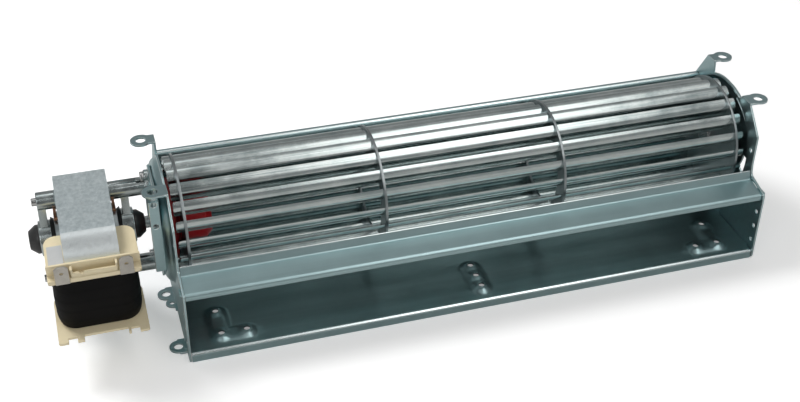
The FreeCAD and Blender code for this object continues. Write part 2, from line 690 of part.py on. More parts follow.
def make_side_plate(prefix, depth, opening):
    """One side plate, drawn as the one at the +X end."""
    inner = "casing_width / 2"
    blank = extruded(prefix + "blank", across(plate_outline()), "plate_sheet", inner)
    eye = rod(prefix + "eye", "plate_top_radius - 0.5", "plate_sheet + 2", inner + " - 1")
    holed = cut(prefix + "holed_blank", blank, [eye])
    lugs, holes = plate_features(prefix)
    pressed = dish(prefix + "dish", depth, opening)
    return cut(prefix + "plate", fuse(prefix + "pressing", [holed, pressed] + lugs), holes)


def ring_window(name, from_degrees, to_degrees, inner_radius, outer_radius):
    """A curved window between two radii of the tail side dish."""
    start, end = math.radians(from_degrees), math.radians(to_degrees)
    middle = (start + end) / 2

    def at(radius, angle):
        return Vector(radius * math.cos(angle), radius * math.sin(angle), 0)

    edges = [
        Part.Arc(at(outer_radius, start), at(outer_radius, middle), at(outer_radius, end)).toShape(),
        Part.makeLine(at(outer_radius, end), at(inner_radius, end)),
        Part.Arc(at(inner_radius, end), at(inner_radius, middle), at(inner_radius, start)).toShape(),
        Part.makeLine(at(inner_radius, start), at(outer_radius, start)),
    ]
    face = Part.Face(Part.Wire(Part.__sortEdges__(edges)))
    return extruded(name, across(face), "20", "casing_width / 2 - 5")


def make_side_plates():
    motor_side = make_side_plate("left_", "left_dish_depth", "shaft_opening")
    screw_tools = mirrored("left_screw_tools", mount_screw_tools("left_", "0.1"))
    motor_side = cut("left_drilled", motor_side, [screw_tools])
    finish("left_side_plate", mirrored("left_side_plate", motor_side))
    tail_side = make_side_plate("right_", "right_dish_depth", "tail_bush_radius")
    edge = size("dish_face_radius")
    windows = [ring_window("upper_window", 106, 138, edge - 4.4, edge - 1.6),
               ring_window("front_window", 186, 209, edge - 5.8, edge - 1.2)]
    finish("right_side_plate", cut("right_side_plate", tail_side, windows))


# Roller: blades, discs and rings

def blade_face(extra=0.0):
    """One blade's section: a curved strip whose tip leads its root, bent in a few facets."""
    half = size("blade_sheet") / 2 + extra
    root_radius, tip_radius = size("blade_root_radius"), size("blade_tip_radius")
    lean = math.radians(size("blade_lean"))
    root = Vector(root_radius, 0, 0)
    tip = Vector(tip_radius * math.cos(lean), -tip_radius * math.sin(lean), 0)
    chord = tip - root
    bow = size("blade_camber_radius")
    side = Vector(-chord.y, chord.x, 0).normalize()
    sag = math.sqrt(bow ** 2 - (chord.Length / 2) ** 2)
    centre = (root + tip) * 0.5 - side * sag
    spread = math.asin(chord.Length / 2 / bow)
    facets = 4
    corners = []
    for radius, shares in ((bow + half, range(facets + 1)), (bow - half, range(facets, -1, -1))):
        for share in shares:
            angle = math.atan2(side.y, side.x) + (2 * share / facets - 1) * spread
            corners.append(centre + Vector(math.cos(angle), math.sin(angle), 0) * radius)
    return Part.Face(Part.makePolygon(corners + [corners[0]]))


def blade_ring(extra=0.0):
    """All the blades' sections round the shaft."""
    count = int(size("blade_count"))
    faces = []
    for number in range(count):
        face = blade_face(extra)
        face.rotate(Vector(), Vector(0, 0, 1), 360.0 * number / count)
        faces.append(across(face))
    return Part.makeCompound(faces)


def slotted(name, disc, x):
    """A disc with a slot for every blade."""
    start = x + " - ring_sheet / 2 - 2"
    slots = extruded(name + "_slots", blade_ring(size("slot_clearance")), "ring_sheet + 4", start)
    return cut(name, disc, [slots])


def washer_profile(x, thickness, inner_radius, outer_radius):
    """A plain washer's profile, centred on x."""
    back = "%s - %s / 2" % (x, thickness)
    front = "%s + %s / 2" % (x, thickness)
    return [(back, inner_radius), (front, inner_radius), (front, outer_radius), (back, outer_radius)]


def make_roller():
    blades = extruded("impeller_blades", blade_ring(), "blade_length", "-blade_length / 2")
    finish("impeller_blades", blades)
    discs = {
        "left_end_disc": ("-end_ring_x", "hub_groove_radius + slot_clearance"),
        "left_middle_ring": ("-middle_ring_x", "ring_inner_radius"),
        "right_middle_ring": ("middle_ring_x", "ring_inner_radius"),
        "right_end_disc": ("end_ring_x", "tail_radius + slot_clearance"),
    }
    for label, (x, inner_radius) in discs.items():
        disc = turned(label + "_blank", washer_profile(x, "ring_sheet", inner_radius, "ring_radius"))
        finish(label, slotted(label, disc, x))


def make_coupling():
    """The flexible coupling: a flange, a groove for the end disc and a long grip on the shaft."""
    disc_back = "-end_ring_x - ring_sheet / 2 - slot_clearance"
    disc_front = "-end_ring_x + ring_sheet / 2 + slot_clearance"
    flange = "-casing_width / 2 + 0.8"
    tail = "-casing_width / 2 + hub_length"
    finish("flexible_coupling", turned("flexible_coupling", [
        (flange, "shaft_radius"), (flange, "hub_flange_radius"),
        (flange + " + 2.2", "hub_flange_radius"), (flange + " + 2.2", "hub_radius"),
        (disc_back, "hub_radius"), (disc_back, "hub_groove_radius"), (disc_front, "hub_groove_radius"),
        (disc_front, "hub_radius"), (tail + " - 3", "hub_radius"), (tail, "hub_radius - 3"),
        (tail, "shaft_radius")]))


def make_tail():
    """The tail shaft, its rubber bush, its bearing and the washer between."""
    disc = "end_ring_x + ring_sheet / 2"
    disc_back = "end_ring_x - ring_sheet / 2"
    bore = "tail_radius + shaft_running_fit"
    face = "casing_width / 2 + right_dish_depth"
    finish("tail_shaft", turned("tail_shaft", [
        (disc_back + " - 2", "0"), (face + " + 6", "0"), (face + " + 6", "tail_radius - 0.6"),
        (face + " + 5.4", "tail_radius"), (disc + " + 1.6", "tail_radius"),
        (disc + " + 1.6", "tail_radius + 3.5"), (disc, "tail_radius + 3.5"), (disc, "tail_radius"),
        (disc_back, "tail_radius"), (disc_back, "tail_radius + 2.5"),
        (disc_back + " - 2", "tail_radius + 2")]))
    finish("tail_bearing", turned("tail_bearing", [
        (face + " - 2.6", bore), (face + " + 4.6", bore),
        (face + " + 4.6", "sleeve_radius - 0.4"), (face + " + 4.2", "sleeve_radius"),
        (face + " - 2.6", "sleeve_radius")]))
    finish("tail_bearing_rubber", turned("tail_bearing_rubber", [
        (face + " - 1.8", "sleeve_radius"), (face + " + 3.8", "sleeve_radius"),
        (face + " + 3.8", "tail_bush_radius - 1.5"),
        (face + " + plate_sheet", "tail_bush_radius + 2"), (face + " + plate_sheet", "tail_bush_radius"),
        (face, "tail_bush_radius"), (face, "tail_bush_radius + 2"),
        (face + " - 1.8", "tail_bush_radius - 1")]))
    finish("tail_thrust_washer", turned("tail_thrust_washer", washer_profile(
        face + " - 3.0", "0.5", bore, "sleeve_radius")))


# Motor: core, coil, rotor, brackets and bearings. Its coil end points to -Y before it is tilted

PACK_LEFT = "-motor_x - stack / 2"
PACK_RIGHT = "-motor_x + stack / 2"


def core_outline():
    half = size("core_height") / 2
    back, front = size("core_back"), -size("core_front")
    chamfer, bend = size("core_chamfer"), size("core_bend")
    return closed_outline([
        (back, half - chamfer, 1.0), (back - chamfer, half, 1.0), (front, half, bend),
        (front, -half, bend), (back - chamfer, -half, 1.0), (back, -half + chamfer, 1.0)])


def shading_places():
    """The two slots of each shading ring, as angles round the bore."""
    return [(58.0, 100.0), (238.0, 280.0)]


def make_core():
    pack = extruded("core_pack", across(core_outline()), "stack", PACK_LEFT)
    tools = [
        rod("bore_tool", "bore_radius", "stack + 2", PACK_LEFT + " - 1"),
        block("window_tool", ("stack + 2", "core_front - window_back + 1", "2 * window_half"),
              (PACK_LEFT + " - 1", "-core_front - 1", "-window_half")),
    ]
    tools += post_pair("core_hole", "screw_radius + slot_clearance", "stack + 2", PACK_LEFT + " - 1")
    for number, angles in enumerate(shading_places()):
        for which, angle in zip("ab", angles):
            reach = "(bore_radius + shading_wire)"
            y = "%s * %.6f" % (reach, math.cos(math.radians(angle)))
            z = "%s * %.6f" % (reach, math.sin(math.radians(angle)))
            name = "shading_slot_%d%s" % (number, which)
            tools.append(rod(name, "shading_wire + 0.1", "stack + 2", PACK_LEFT + " - 1", y, z))
    finish("stator_core", cut("stator_core", pack, tools), tilted=True)
    limb_size = ("stack", "limb", "2 * window_half")
    limb = block("limb_block", limb_size, (PACK_LEFT, "-core_front", "-window_half"))
    finish("coil_core", group("coil_core", [limb]), tilted=True)


def make_shading_rings():
    """A copper loop in each pole, through two slots of the bore and round both faces."""
    reach = size("bore_radius") + size("shading_wire")
    overhang = 1.4
    half_length = size("stack") / 2 + overhang
    half_wire = size("shading_wire") * 0.66
    loops = []
    for first, second in shading_places():
        start, end = [Vector(0, reach * math.cos(math.radians(a)), reach * math.sin(math.radians(a)))
                      for a in (first, second)]
        run = (end - start).normalize()
        depth = Vector(1, 0, 0).cross(run) * (2 * half_wire)
        middle = (start + end) * 0.5 - depth * 0.5 - Vector(size("motor_x"), 0, 0)
        half_width = (end - start).Length / 2
        rims = []
        for wire in (half_wire, -half_wire):
            corners = [middle + Vector(sx * (half_length + wire), 0, 0) + run * (sw * (half_width + wire))
                       for sx, sw in ((-1, -1), (1, -1), (1, 1), (-1, 1))]
            rims.append(Part.Face(Part.makePolygon(corners + [corners[0]])).extrude(depth))
        loops.append(rims[0].cut(rims[1]))
    finish("shading_rings", raw("shading_rings", Part.makeCompound(loops)), tilted=True)


def make_bobbin():
    """The moulded bobbin: a square tube, two flanges and the terminal rack in front."""
    left = "-motor_x - bobbin_width / 2"
    tube = block("bobbin_tube", ("stack + 2 * bobbin_wall", "limb + 2 * bobbin_wall", "2 * window_half"),
                 (PACK_LEFT + " - bobbin_wall", "-core_front - bobbin_wall", "-window_half"))
    corner = 5.5
    flanges = []
    for name, low in (("upper_flange", "window_half - bobbin_flange"), ("lower_flange", "-window_half")):
        half = size("bobbin_width") / 2
        back_y, front_y = -size(name + "_back"), -size(name + "_front")
        middle = -size("motor_x")
        outline = closed_outline([(middle - half, back_y, corner), (middle - half, front_y, 1.0),
                                  (middle + half, front_y, 1.0), (middle + half, back_y, corner)])
        plate = doc.addObject("Part::Extrusion", name)
        plate.Base = raw(name + "_outline", outline)
        plate.DirMode = "Custom"
        plate.Dir = Vector(0, 0, 1)
        plate.Solid = True
        bind(plate, "LengthFwd", "bobbin_flange")
        flanges.append(place(plate, "0", "0", low))
    rack_rear = "-core_front - bobbin_wall - 1.2"
    rack_floor = "window_half"
    rack = [
        block("rack_wall", ("bobbin_width", "1.2", "6.6"), (left, rack_rear, rack_floor)),
        block("rack_bed", ("bobbin_width", "upper_flange_front - core_front - bobbin_wall", "0.8"),
              (left, "-upper_flange_front", rack_floor)),
        block("rack_rib", ("20", "0.9", "3.4"), ("-motor_x - 10", "-core_front - 5.2", rack_floor)),
    ]
    for side in ("-1", "1"):
        divider = ("1.2", "upper_flange_front - core_front - 2", "5.6")
        rack.append(block("rack_divider" + side, divider,
                          ("-motor_x + %s * 10 - 0.6" % side, "-upper_flange_front + 0.8", rack_floor)))
    tools = [block("limb_tool", ("stack + 0.1", "limb + 0.1", "2 * window_half + 2"),
                   (PACK_LEFT + " - 0.05", "-core_front - 0.05", "-window_half - 1"))]
    tools.append(block("wing_gap", ("stack + 0.4", "window_back", "bobbin_flange + 4"),
                       (PACK_LEFT + " - 0.2", "-window_back - 0.1", "window_half - bobbin_flange - 2")))
    tools.append(block("flange_recess", ("20", "3.7", "bobbin_flange + 2"),
                       ("-motor_x - 9", "-lower_flange_front - 0.5", "-window_half - 1")))
    for side in ("-1", "1"):
        notch_x = "-motor_x + %s * tab_spacing / 2 - 2" % side
        tools.append(block("notch" + side, ("4", "3.3", "bobbin_flange + 2"),
                           (notch_x, "-lower_flange_front - 0.5", "-window_half - 1")))
        tools.append(block("tab_slot" + side, ("tab_width + 0.1", "tab_sheet + 0.1", "8"),
                           ("-motor_x + %s * tab_spacing / 2 - tab_width / 2 - 0.05" % side,
                            "-core_front - 6.5 - 0.05", "window_half - bobbin_flange - 1")))
    tools.append(rod_along_y("bobbin_vent", "1.2", "3", "-motor_x - 5.5", "-core_front - 4",
                             "window_half + 3.6"))
    body = fuse("bobbin_body", [tube] + flanges + rack)
    finish("coil_bobbin", cut("coil_bobbin", body, tools), tilted=True)


def rod_along_y(name, radius, length, x, y, z):
    """A cylinder along -Y that starts at y."""
    obj = doc.addObject("Part::Cylinder", name)
    obj.Placement = Placement(Vector(), Rotation(Vector(1, 0, 0), 90))
    bind(obj, "Radius", radius)
    bind(obj, "Height", length)
    return place(obj, x, y, z)


def make_winding():
    """The taped winding: a rounded block round the bobbin's tube."""
    build, wall = size("coil_build"), size("bobbin_wall")
    middle = -size("motor_x")
    half_x = size("stack") / 2 + wall + build
    front = -size("core_front") - wall - build
    back = -size("core_front") + size("limb") + wall + build
    corner = size("coil_corner")
    outline = closed_outline([(middle - half_x, back, corner), (middle - half_x, front, corner),
                              (middle + half_x, front, corner), (middle + half_x, back, corner)])
    block_shape = doc.addObject("Part::Extrusion", "winding_block")
    block_shape.Base = raw("winding_outline", outline)
    block_shape.DirMode = "Custom"
    block_shape.Dir = Vector(0, 0, 1)
    block_shape.Solid = True
    bind(block_shape, "LengthFwd", "2 * (window_half - bobbin_flange)")
    place(block_shape, "0", "0", "-window_half + bobbin_flange")
    core = block("winding_core", ("stack + 2 * bobbin_wall", "limb + 2 * bobbin_wall", "2 * window_half + 2"),
                 (PACK_LEFT + " - bobbin_wall", "-core_front - bobbin_wall", "-window_half - 1"))
    finish("coil_winding", cut("coil_winding", block_shape, [core]), tilted=True)


def make_terminals():
    for label, side in (("left_terminal", "-1"), ("right_terminal", "1")):
        x = "-motor_x + %s * tab_spacing / 2" % side
        y = "-core_front - 6.5"
        low = "window_half - bobbin_flange + 0.1"
        height = "tab_top - window_half + bobbin_flange - 0.1"
        blade = block(label + "_blade", ("tab_width", "tab_sheet", height), (x + " - tab_width / 2", y, low))
        tools = [rod_along_y(label + "_eye", "0.85", "4", x, y + " + 2.5", "tab_top - 4.2")]
        for end in ("-1", "1"):
            corner = block(label + "_corner" + end, ("2", "4", "2"), ("0", "0", "0"))
            corner.Placement = Placement(Vector(), Rotation(Vector(0, 1, 0), 45))
            place(corner, x + " + %s * tab_width / 2 - 1.4142" % end, y + " - 1", "tab_top")
            tools.append(corner)
        finish(label, cut(label, blade, tools), tilted=True)


def bracket_arm(name, x):
    """The arm of a bearing bracket: a strap from post to post through the housing."""
    upper = Vector(size("upper_post_y"), size("post_z"), 0)
    lower = Vector(-size("lower_post_y"), -size("post_z"), 0)
    half = size("arm_width") / 2
    straps = []
    for number, end in enumerate((upper, lower)):
        run = Vector(end.x, end.y, 0).normalize()
        side = Vector(-run.y, run.x, 0)
        corners = [side * (half + 1), end + side * half * 0.8, end - side * half * 0.8, side * -(half + 1)]
        wire = Part.makePolygon(corners + [corners[0]])
        straps.append(extruded("%s_strap_%d" % (name, number), across(Part.Face(wire)), "arm_depth", x))
    return straps


def post_pair(name, radius, length, x):
    return [rod(name + "_upper", radius, length, x, "upper_post_y", "post_z"),
            rod(name + "_lower", radius, length, x, "-lower_post_y", "-post_z")]


def mount_screw_tools(prefix, room):
    """Holes for the two screws that hold the motor to the casing."""
    ears = mount_screws_at(prefix + "ear_hole", "screw_radius + " + room, "30", "-casing_width / 2 - 25")
    tool = group(prefix + "ear_holes", ears)
    tool.Placement = Placement(Vector(), Rotation(Vector(1, 0, 0), size("motor_tilt")))
    bind(tool, "Placement.Rotation.Angle", "motor_tilt * 1 deg")
    return tool


def mount_screws_at(name, radius, length, x):
    return [rod(name + "_upper", radius, length, x, "upper_post_y + 0.8", "post_z + 4.8"),
            rod(name + "_lower", radius, length, x, "-lower_post_y + 4.8", "-post_z - 0.8")]


MOUNT_FACE = "-casing_width / 2 - plate_sheet - left_dish_depth - mount_sheet"


def make_brackets():
    """The two cast bearing brackets. The inner one also carries the motor on its feet."""
    outer_x = PACK_LEFT + " - bracket_standoff - arm_depth"
    housing_tools = [rod("outer_bore", "sleeve_radius", "30", outer_x + " - 10")]
    housing_tools += post_pair("outer_screw_hole", "screw_radius + slot_clearance", "30", outer_x + " - 10")
    outer = fuse("outer_casting", bracket_arm("outer", outer_x) + [
        rod("outer_housing", "housing_radius", "arm_depth + 2.4", outer_x + " - 1.2")]
        + post_pair("outer_post", "post_radius", "bracket_standoff + arm_depth", outer_x))
    finish("outer_bearing_bracket", cut("outer_bearing_bracket", outer, housing_tools), tilted=True)

    inner_x = PACK_RIGHT + " + bracket_standoff"
    span = "(%s) - (%s)" % (MOUNT_FACE, PACK_RIGHT)
    foot = "2.4"
    feet = post_pair("inner_foot", "post_radius + 1.4", foot, MOUNT_FACE + " - " + foot)
    feet += mount_screws_at("inner_ear", "3.4", foot, MOUNT_FACE + " - " + foot)
    inner = fuse("inner_casting", bracket_arm("inner", inner_x) + [
        rod("inner_housing", "housing_radius", "arm_depth + 2.4", inner_x + " - 1.2")]
        + post_pair("inner_post", "post_radius", span, PACK_RIGHT) + feet)
    tools = [rod("inner_bore", "sleeve_radius", "12", inner_x + " - 4")]
    tools += post_pair("inner_screw_hole", "screw_radius + slot_clearance", "12", PACK_RIGHT + " - 0.5")
    tools += mount_screws_at("inner_ear_hole", "screw_radius + 0.1", "30", "-casing_width / 2 - 25")
    tools += mount_screws_at("inner_ear_pocket", "screw_head_radius + 0.2", "4", MOUNT_FACE + " - 6.4")
    finish("inner_bearing_bracket", cut("inner_bearing_bracket", inner, tools), tilted=True)


def make_motor_screws():
    """Long screws that clamp both brackets on the core, and the screws of the feet."""
    tip = PACK_LEFT + " - bracket_standoff - arm_depth - 2.3"
    length = "stack + bracket_standoff + arm_depth + 2.3 + 11"
    long_screws = group("bracket_screws", post_pair("bracket_screw", "screw_radius", length, tip))
    finish("bracket_screws", long_screws, tilted=True)
    foot_x = MOUNT_FACE + " - 2.4"
    heads = mount_screws_at("foot_screw_head", "screw_head_radius", "1.8", foot_x + " - 1.8")
    shank_length = "2.4 + mount_sheet + plate_sheet + 3"
    shanks = mount_screws_at("foot_screw_shank", "screw_radius", shank_length, foot_x)
    screws = [fuse("foot_screw_%d" % number, pair) for number, pair in enumerate(zip(heads, shanks))]
    finish("motor_foot_screws", group("motor_foot_screws", screws), tilted=True)


def make_bearings():
    """Sleeve bearings with their felt rings and caps, at both brackets."""
    outer_mid = PACK_LEFT + " - bracket_standoff - arm_depth / 2"
    inner_mid = PACK_RIGHT + " + bracket_standoff + arm_depth / 2"
    fit = "shaft_radius + shaft_running_fit"
    for label, middle, way in (("outer", outer_mid, "-1"), ("inner", inner_mid, "1")):
        start = "%s + %s * sleeve_length / 2" % (middle, way)
        finish(label + "_sleeve_bearing", turned(label + "_sleeve_bearing", washer_profile(
            middle, "sleeve_length", fit, "sleeve_radius")))
        finish(label + "_felt_ring", turned(label + "_felt_ring", [
            (start, "shaft_radius + 0.4"), (start + " + %s * 1.6" % way, "shaft_radius + 0.4"),
            (start + " + %s * 1.6" % way, "sleeve_radius - 0.4"), (start, "sleeve_radius - 0.4")]))
        seat = "%s + %s * (arm_depth / 2 + 1.2)" % (middle, way)
        end = "%s + %s * cap_length" % (seat, way)
        inner_face = "%s - %s * (arm_depth / 2 + 1.2)" % (middle, way)
        retainer_back = "%s - %s * 1.5" % (inner_face, way)
        finish(label + "_bearing_retainer", turned(label + "_bearing_retainer", [
            (inner_face, "sleeve_radius"), (inner_face, "retainer_radius"),
            (retainer_back, "retainer_radius - 1"), (retainer_back, "sleeve_radius")]))
        profile = [
            (seat, "sleeve_radius"), (seat, "cap_radius"), (seat + " + %s * 1.6" % way, "cap_radius"),
            (end, "cap_tip_radius"), (end, "shaft_radius + 0.5"),
            (start + " + %s * 1.6" % way, "shaft_radius + 0.5"),
            (start + " + %s * 1.6" % way, "sleeve_radius - 0.3"),
            (start + " + %s * 0.1" % way, "sleeve_radius")]
        finish(label + "_bearing_cap", turned(label + "_bearing_cap", profile))


def make_motor_mount():
    """The bent bracket between the motor's feet and the dish, with its two flanges folded out."""
    front, rear = -size("mount_front"), size("mount_rear")
    top, bottom = size("mount_top"), -size("mount_bottom")
    corner, drop = size("mount_corner"), size("mount_flange_drop")
    web = extruded("mount_web", across(closed_outline([
        (front, top, 1.5), (rear - 0.6 * corner, top, 4), (rear, 1.5 * corner, 4), (rear, bottom + corner, 4),
        (rear - corner, bottom, 3), (front - bottom - drop, bottom, 4), (front, -drop, 2)])),
        "mount_sheet", MOUNT_FACE)
    flanges = [
        block("mount_front_flange",
              ("mount_flange + mount_sheet", "mount_sheet", "mount_top + mount_flange_drop - 1"),
              (MOUNT_FACE + " - mount_flange", "-mount_front", "-mount_flange_drop")),
        block("mount_rear_flange",
              ("mount_flange * 0.6 + mount_sheet", "mount_sheet", "2 * mount_flange_half"),
              (MOUNT_FACE + " - mount_flange * 0.6", "mount_rear - mount_sheet", "-mount_flange_half")),
    ]
    tools = [rod("mount_eye", "shaft_opening", "6", MOUNT_FACE + " - 2")]
    for number, z in enumerate(("mount_top / 2 - 0.8", "mount_top - 2.6")):
        tools.append(rod_along_y("mount_pilot_%d" % number, "1.3", "4", MOUNT_FACE + " - 1.2",
                                 "-mount_front + 2.5", z))
    drilled = cut("motor_mount_bracket", fuse("mount_channel", [web] + flanges),
                  tools + [mount_screw_tools("mount_", "0.1")])
    finish("motor_mount_bracket", drilled)


def make_rotor():
    shaft_left = PACK_LEFT + " - bracket_standoff - arm_depth - 4.6"
    shaft_right = "-casing_width / 2 + 20"
    finish("motor_shaft", turned("motor_shaft", [
        (shaft_left, "0"), (shaft_right, "0"), (shaft_right, "shaft_radius - 0.4"),
        (shaft_right + " - 0.4", "shaft_radius"), (shaft_left + " + 0.4", "shaft_radius"),
        (shaft_left, "shaft_radius - 0.4")]))
    rotor_radius = "bore_radius - air_gap"
    core = turned("rotor_core", washer_profile("-motor_x", "stack", "shaft_radius", rotor_radius))
    finish("rotor_core", core)
    rings = []
    for label, x in (("left", PACK_LEFT + " - 1.1"), ("right", PACK_RIGHT + " + 1.1")):
        profile = washer_profile(x, "2.2", "7.2", rotor_radius + " - 0.6")
        rings.append(turned(label + "_end_ring", profile))
    finish("rotor_end_rings", group("rotor_end_rings", rings))
    washers = []
    for label, x, way in (("outer", PACK_LEFT, "-1"), ("inner", PACK_RIGHT, "1")):
        gap = "(bracket_standoff + arm_depth / 2 - sleeve_length / 2)"
        washers.append(turned(label + "_thrust_washer", washer_profile(
            "%s + %s * (%s - 0.6)" % (x, way, gap), "0.8", "shaft_radius", "sleeve_radius")))
    finish("thrust_washers", group("thrust_washers", washers))


# The whole fan, then its checks and files

def make_all():
    make_scroll_casing()
    make_deflector()
    make_side_plates()
    make_roller()
    make_coupling()
    make_tail()
    make_core()
    make_shading_rings()
    make_bobbin()
    make_winding()
    make_terminals()
    make_brackets()
    make_motor_screws()
    make_bearings()
    make_motor_mount()
    make_rotor()


make_all()
doc.recompute()

for obj in doc.Objects:
    if {"Invalid", "Error"} & set(obj.State):
        raise RuntimeError("%s failed: %s" % (obj.Name, obj.State))
for obj in finished:
    if obj.Shape.isNull() or not obj.Shape.isValid():
        raise RuntimeError("%s has no valid shape" % obj.Label)

os.makedirs("parts", exist_ok=True)
for obj in finished:
    obj.Shape.exportStep("parts/%s.step" % obj.Label)
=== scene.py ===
"""Dresses the cross flow fan: sheet metal, bladed roller and shaded pole motor."""
import json
import math

import bmesh
import bpy
from mathutils import Matrix, Vector
from mathutils.bvhtree import BVHTree


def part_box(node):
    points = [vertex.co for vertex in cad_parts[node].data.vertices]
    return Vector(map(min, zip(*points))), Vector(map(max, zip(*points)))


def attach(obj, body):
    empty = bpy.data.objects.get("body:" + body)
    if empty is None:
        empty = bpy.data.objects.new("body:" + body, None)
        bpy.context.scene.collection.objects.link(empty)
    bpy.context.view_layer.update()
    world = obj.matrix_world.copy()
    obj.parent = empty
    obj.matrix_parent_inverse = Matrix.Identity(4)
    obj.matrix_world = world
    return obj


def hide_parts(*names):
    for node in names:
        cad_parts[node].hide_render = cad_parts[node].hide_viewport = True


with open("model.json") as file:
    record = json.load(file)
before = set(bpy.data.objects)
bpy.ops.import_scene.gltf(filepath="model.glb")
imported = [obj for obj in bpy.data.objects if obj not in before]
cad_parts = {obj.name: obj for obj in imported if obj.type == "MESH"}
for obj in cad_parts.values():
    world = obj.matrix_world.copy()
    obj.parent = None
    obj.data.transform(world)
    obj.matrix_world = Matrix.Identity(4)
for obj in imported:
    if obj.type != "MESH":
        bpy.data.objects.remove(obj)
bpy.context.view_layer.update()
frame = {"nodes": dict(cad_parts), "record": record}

bl_info = {
    "name": "Cross Flow Fan Dressing",
    "version": (1, 0, 0),
    "blender": (4, 5, 0),
    "location": "View3D > Sidebar > Fan",
    "description": "Builds the finishes, the fine pieces and the stage of a cross flow fan",
    "category": "Object",
}

MM = 0.001

# The shaft's place in the frame, read from a ring of the roller
_low, _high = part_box("left_middle_ring")
SHAFT = Vector((0, (_low.y + _high.y) / 2, (_low.z + _high.z) / 2))
HALF_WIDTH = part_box("left_side_plate")[1].x * -1


# Settings

def distance(name, description, millimetres):
    return bpy.props.FloatProperty(name=name, description=description, default=millimetres * MM,
                                   unit="LENGTH")


def angle(name, description, degrees):
    return bpy.props.FloatProperty(name=name, description=description, default=math.radians(degrees),
                                   subtype="ANGLE", unit="ROTATION")


def number(name, description, value):
    return bpy.props.IntProperty(name=name, description=description, default=value, subtype="UNSIGNED")


class FanSheetSettings(bpy.types.PropertyGroup):
    """The galvanised sheets."""
    sheet: distance("Sheet", "Thickness of the scroll's sheet", 0.9)
    edge: distance("Edge Rounding", "Rounding of the sheets' cut edges", 0.14)
    fold: distance("Fold Rounding", "Outer rounding where an ear is folded", 0.9)
    dish: distance("Dish Rounding", "Rounding of the pressed dishes' rims", 1.0)
    start_radius: distance("Scroll Start", "Inner radius of the scroll at its curled edge", 32.6)
    start_angle: angle("Scroll Start Angle", "Where the curled edge lies", 33.5)
    curl: distance("Curl", "Outer radius of the curled edge", 2.1)
    floor_rise: distance("Floor Rise", "Inner face of the floor above the supporting surface", 5.0)
    front: distance("Lip", "Front face of the lip in front of the shaft", 51.8)
    lip_bend: distance("Lip Bend", "Bend radius of the lip", 1.3)
    pad_rise: distance("Pad Rise", "Height of the pressed pads", 1.5)
    pad_radius: distance("Pad Radius", "Half width of a pressed pad", 6.6)
    boss_rise: distance("Boss Rise", "Height of the swelling round a screw hole", 1.0)
    boss_radius: distance("Boss Radius", "Reach of the swelling round a screw hole", 5.2)
    hole: distance("Pad Hole", "Radius of a screw hole", 1.6)
    pad_column: distance("Pad Column", "Outer holes inside the side plates", 16.0)
    pad_inner: distance("Pad Inner", "Inner holes inside the side plates", 28.5)
    pad_front: distance("Pad Front", "Front holes in front of the shaft", 42.5)
    pad_back: distance("Pad Back", "Rear holes in front of the shaft", 25.5)
    ridge_y: distance("Ridge", "The deflector's ridge in front of the shaft", 36.72)
    ridge_z: distance("Ridge Drop", "The deflector's ridge below the shaft", 3.15)
    ridge_depth: distance("Ridge Depth", "Height of the steep strip below the ridge", 4.25)
    ridge_width: distance("Ridge Width", "Run of the steep strip below the ridge", 1.5)
    return_depth: distance("Return Depth", "Height of the strip folded back behind the ridge", 5.7)
    return_width: distance("Return Width", "Run of the strip folded back behind the ridge", 1.2)
    face_drop: distance("Face Drop", "Fall of the sloping face", 2.25)
    hem_lean: distance("Hem Lean", "How far the hem's lower edge draws back", 0.35)
    tab: distance("Tab", "Width of a joining tab", 4.9)
    tab_root: distance("Tab Root", "How far a joining tab reaches into its sheet", 0.2)
    deflector_tab: distance("Deflector Tab", "The deflector's tab behind its hem", 3.0)
    deflector_tab_rise: distance("Deflector Tab Rise", "The deflector's tab above its hem bend", 0.5)
    floor_tab_front: distance("Front Floor Tab", "The floor's front tab behind the lip", 8.0)
    floor_tab_back: distance("Back Floor Tab", "The floor's back tab in front of the shaft", 14.0)
    upper_tab: angle("Upper Tab", "The scroll's upper tab, turned from the curled edge", 38)
    lower_tab: angle("Lower Tab", "The scroll's lower tab, turned from the curled edge", 84)
    fine_step: distance("Fine Step", "Width of the floor's divisions at the pads", 0.9)
    coarse_step: distance("Coarse Step", "Width of the casing's divisions elsewhere", 4.5)
    dish_reach: distance("Dish Reach", "How far from the shaft the dishes' rims lie", 37.0)
    trough_bend: distance("Trough Bend", "Bend radius between ridge and face", 1.5)
    front_bend: distance("Front Bend", "Bend radius between face and hem", 1.5)


class FanRollerSettings(bpy.types.PropertyGroup):
    """The bladed roller."""
    blades: number("Blades", "Blades round the roller", 20)
    root: distance("Blade Root", "Inner edge of the blades", 23.8)
    tip: distance("Blade Tip", "Outer edge of the blades", 30.0)
    lean: angle("Blade Lean", "How far a tip leads its root", 12.5)
    camber: distance("Camber Radius", "Radius of a blade's curve", 5.4)
    strip: distance("Strip", "Thickness of a blade", 0.46)
    end_round: distance("End Rounding", "Rounded corners of a blade's ends", 2.0)
    wobble: angle("Wobble", "Largest uneven turn of a blade", 0.25)
    seed: number("Seed", "Seed of the uneven turns", 7)
    edge: distance("Edge Rounding", "Rounding of the discs' edges", 0.2)


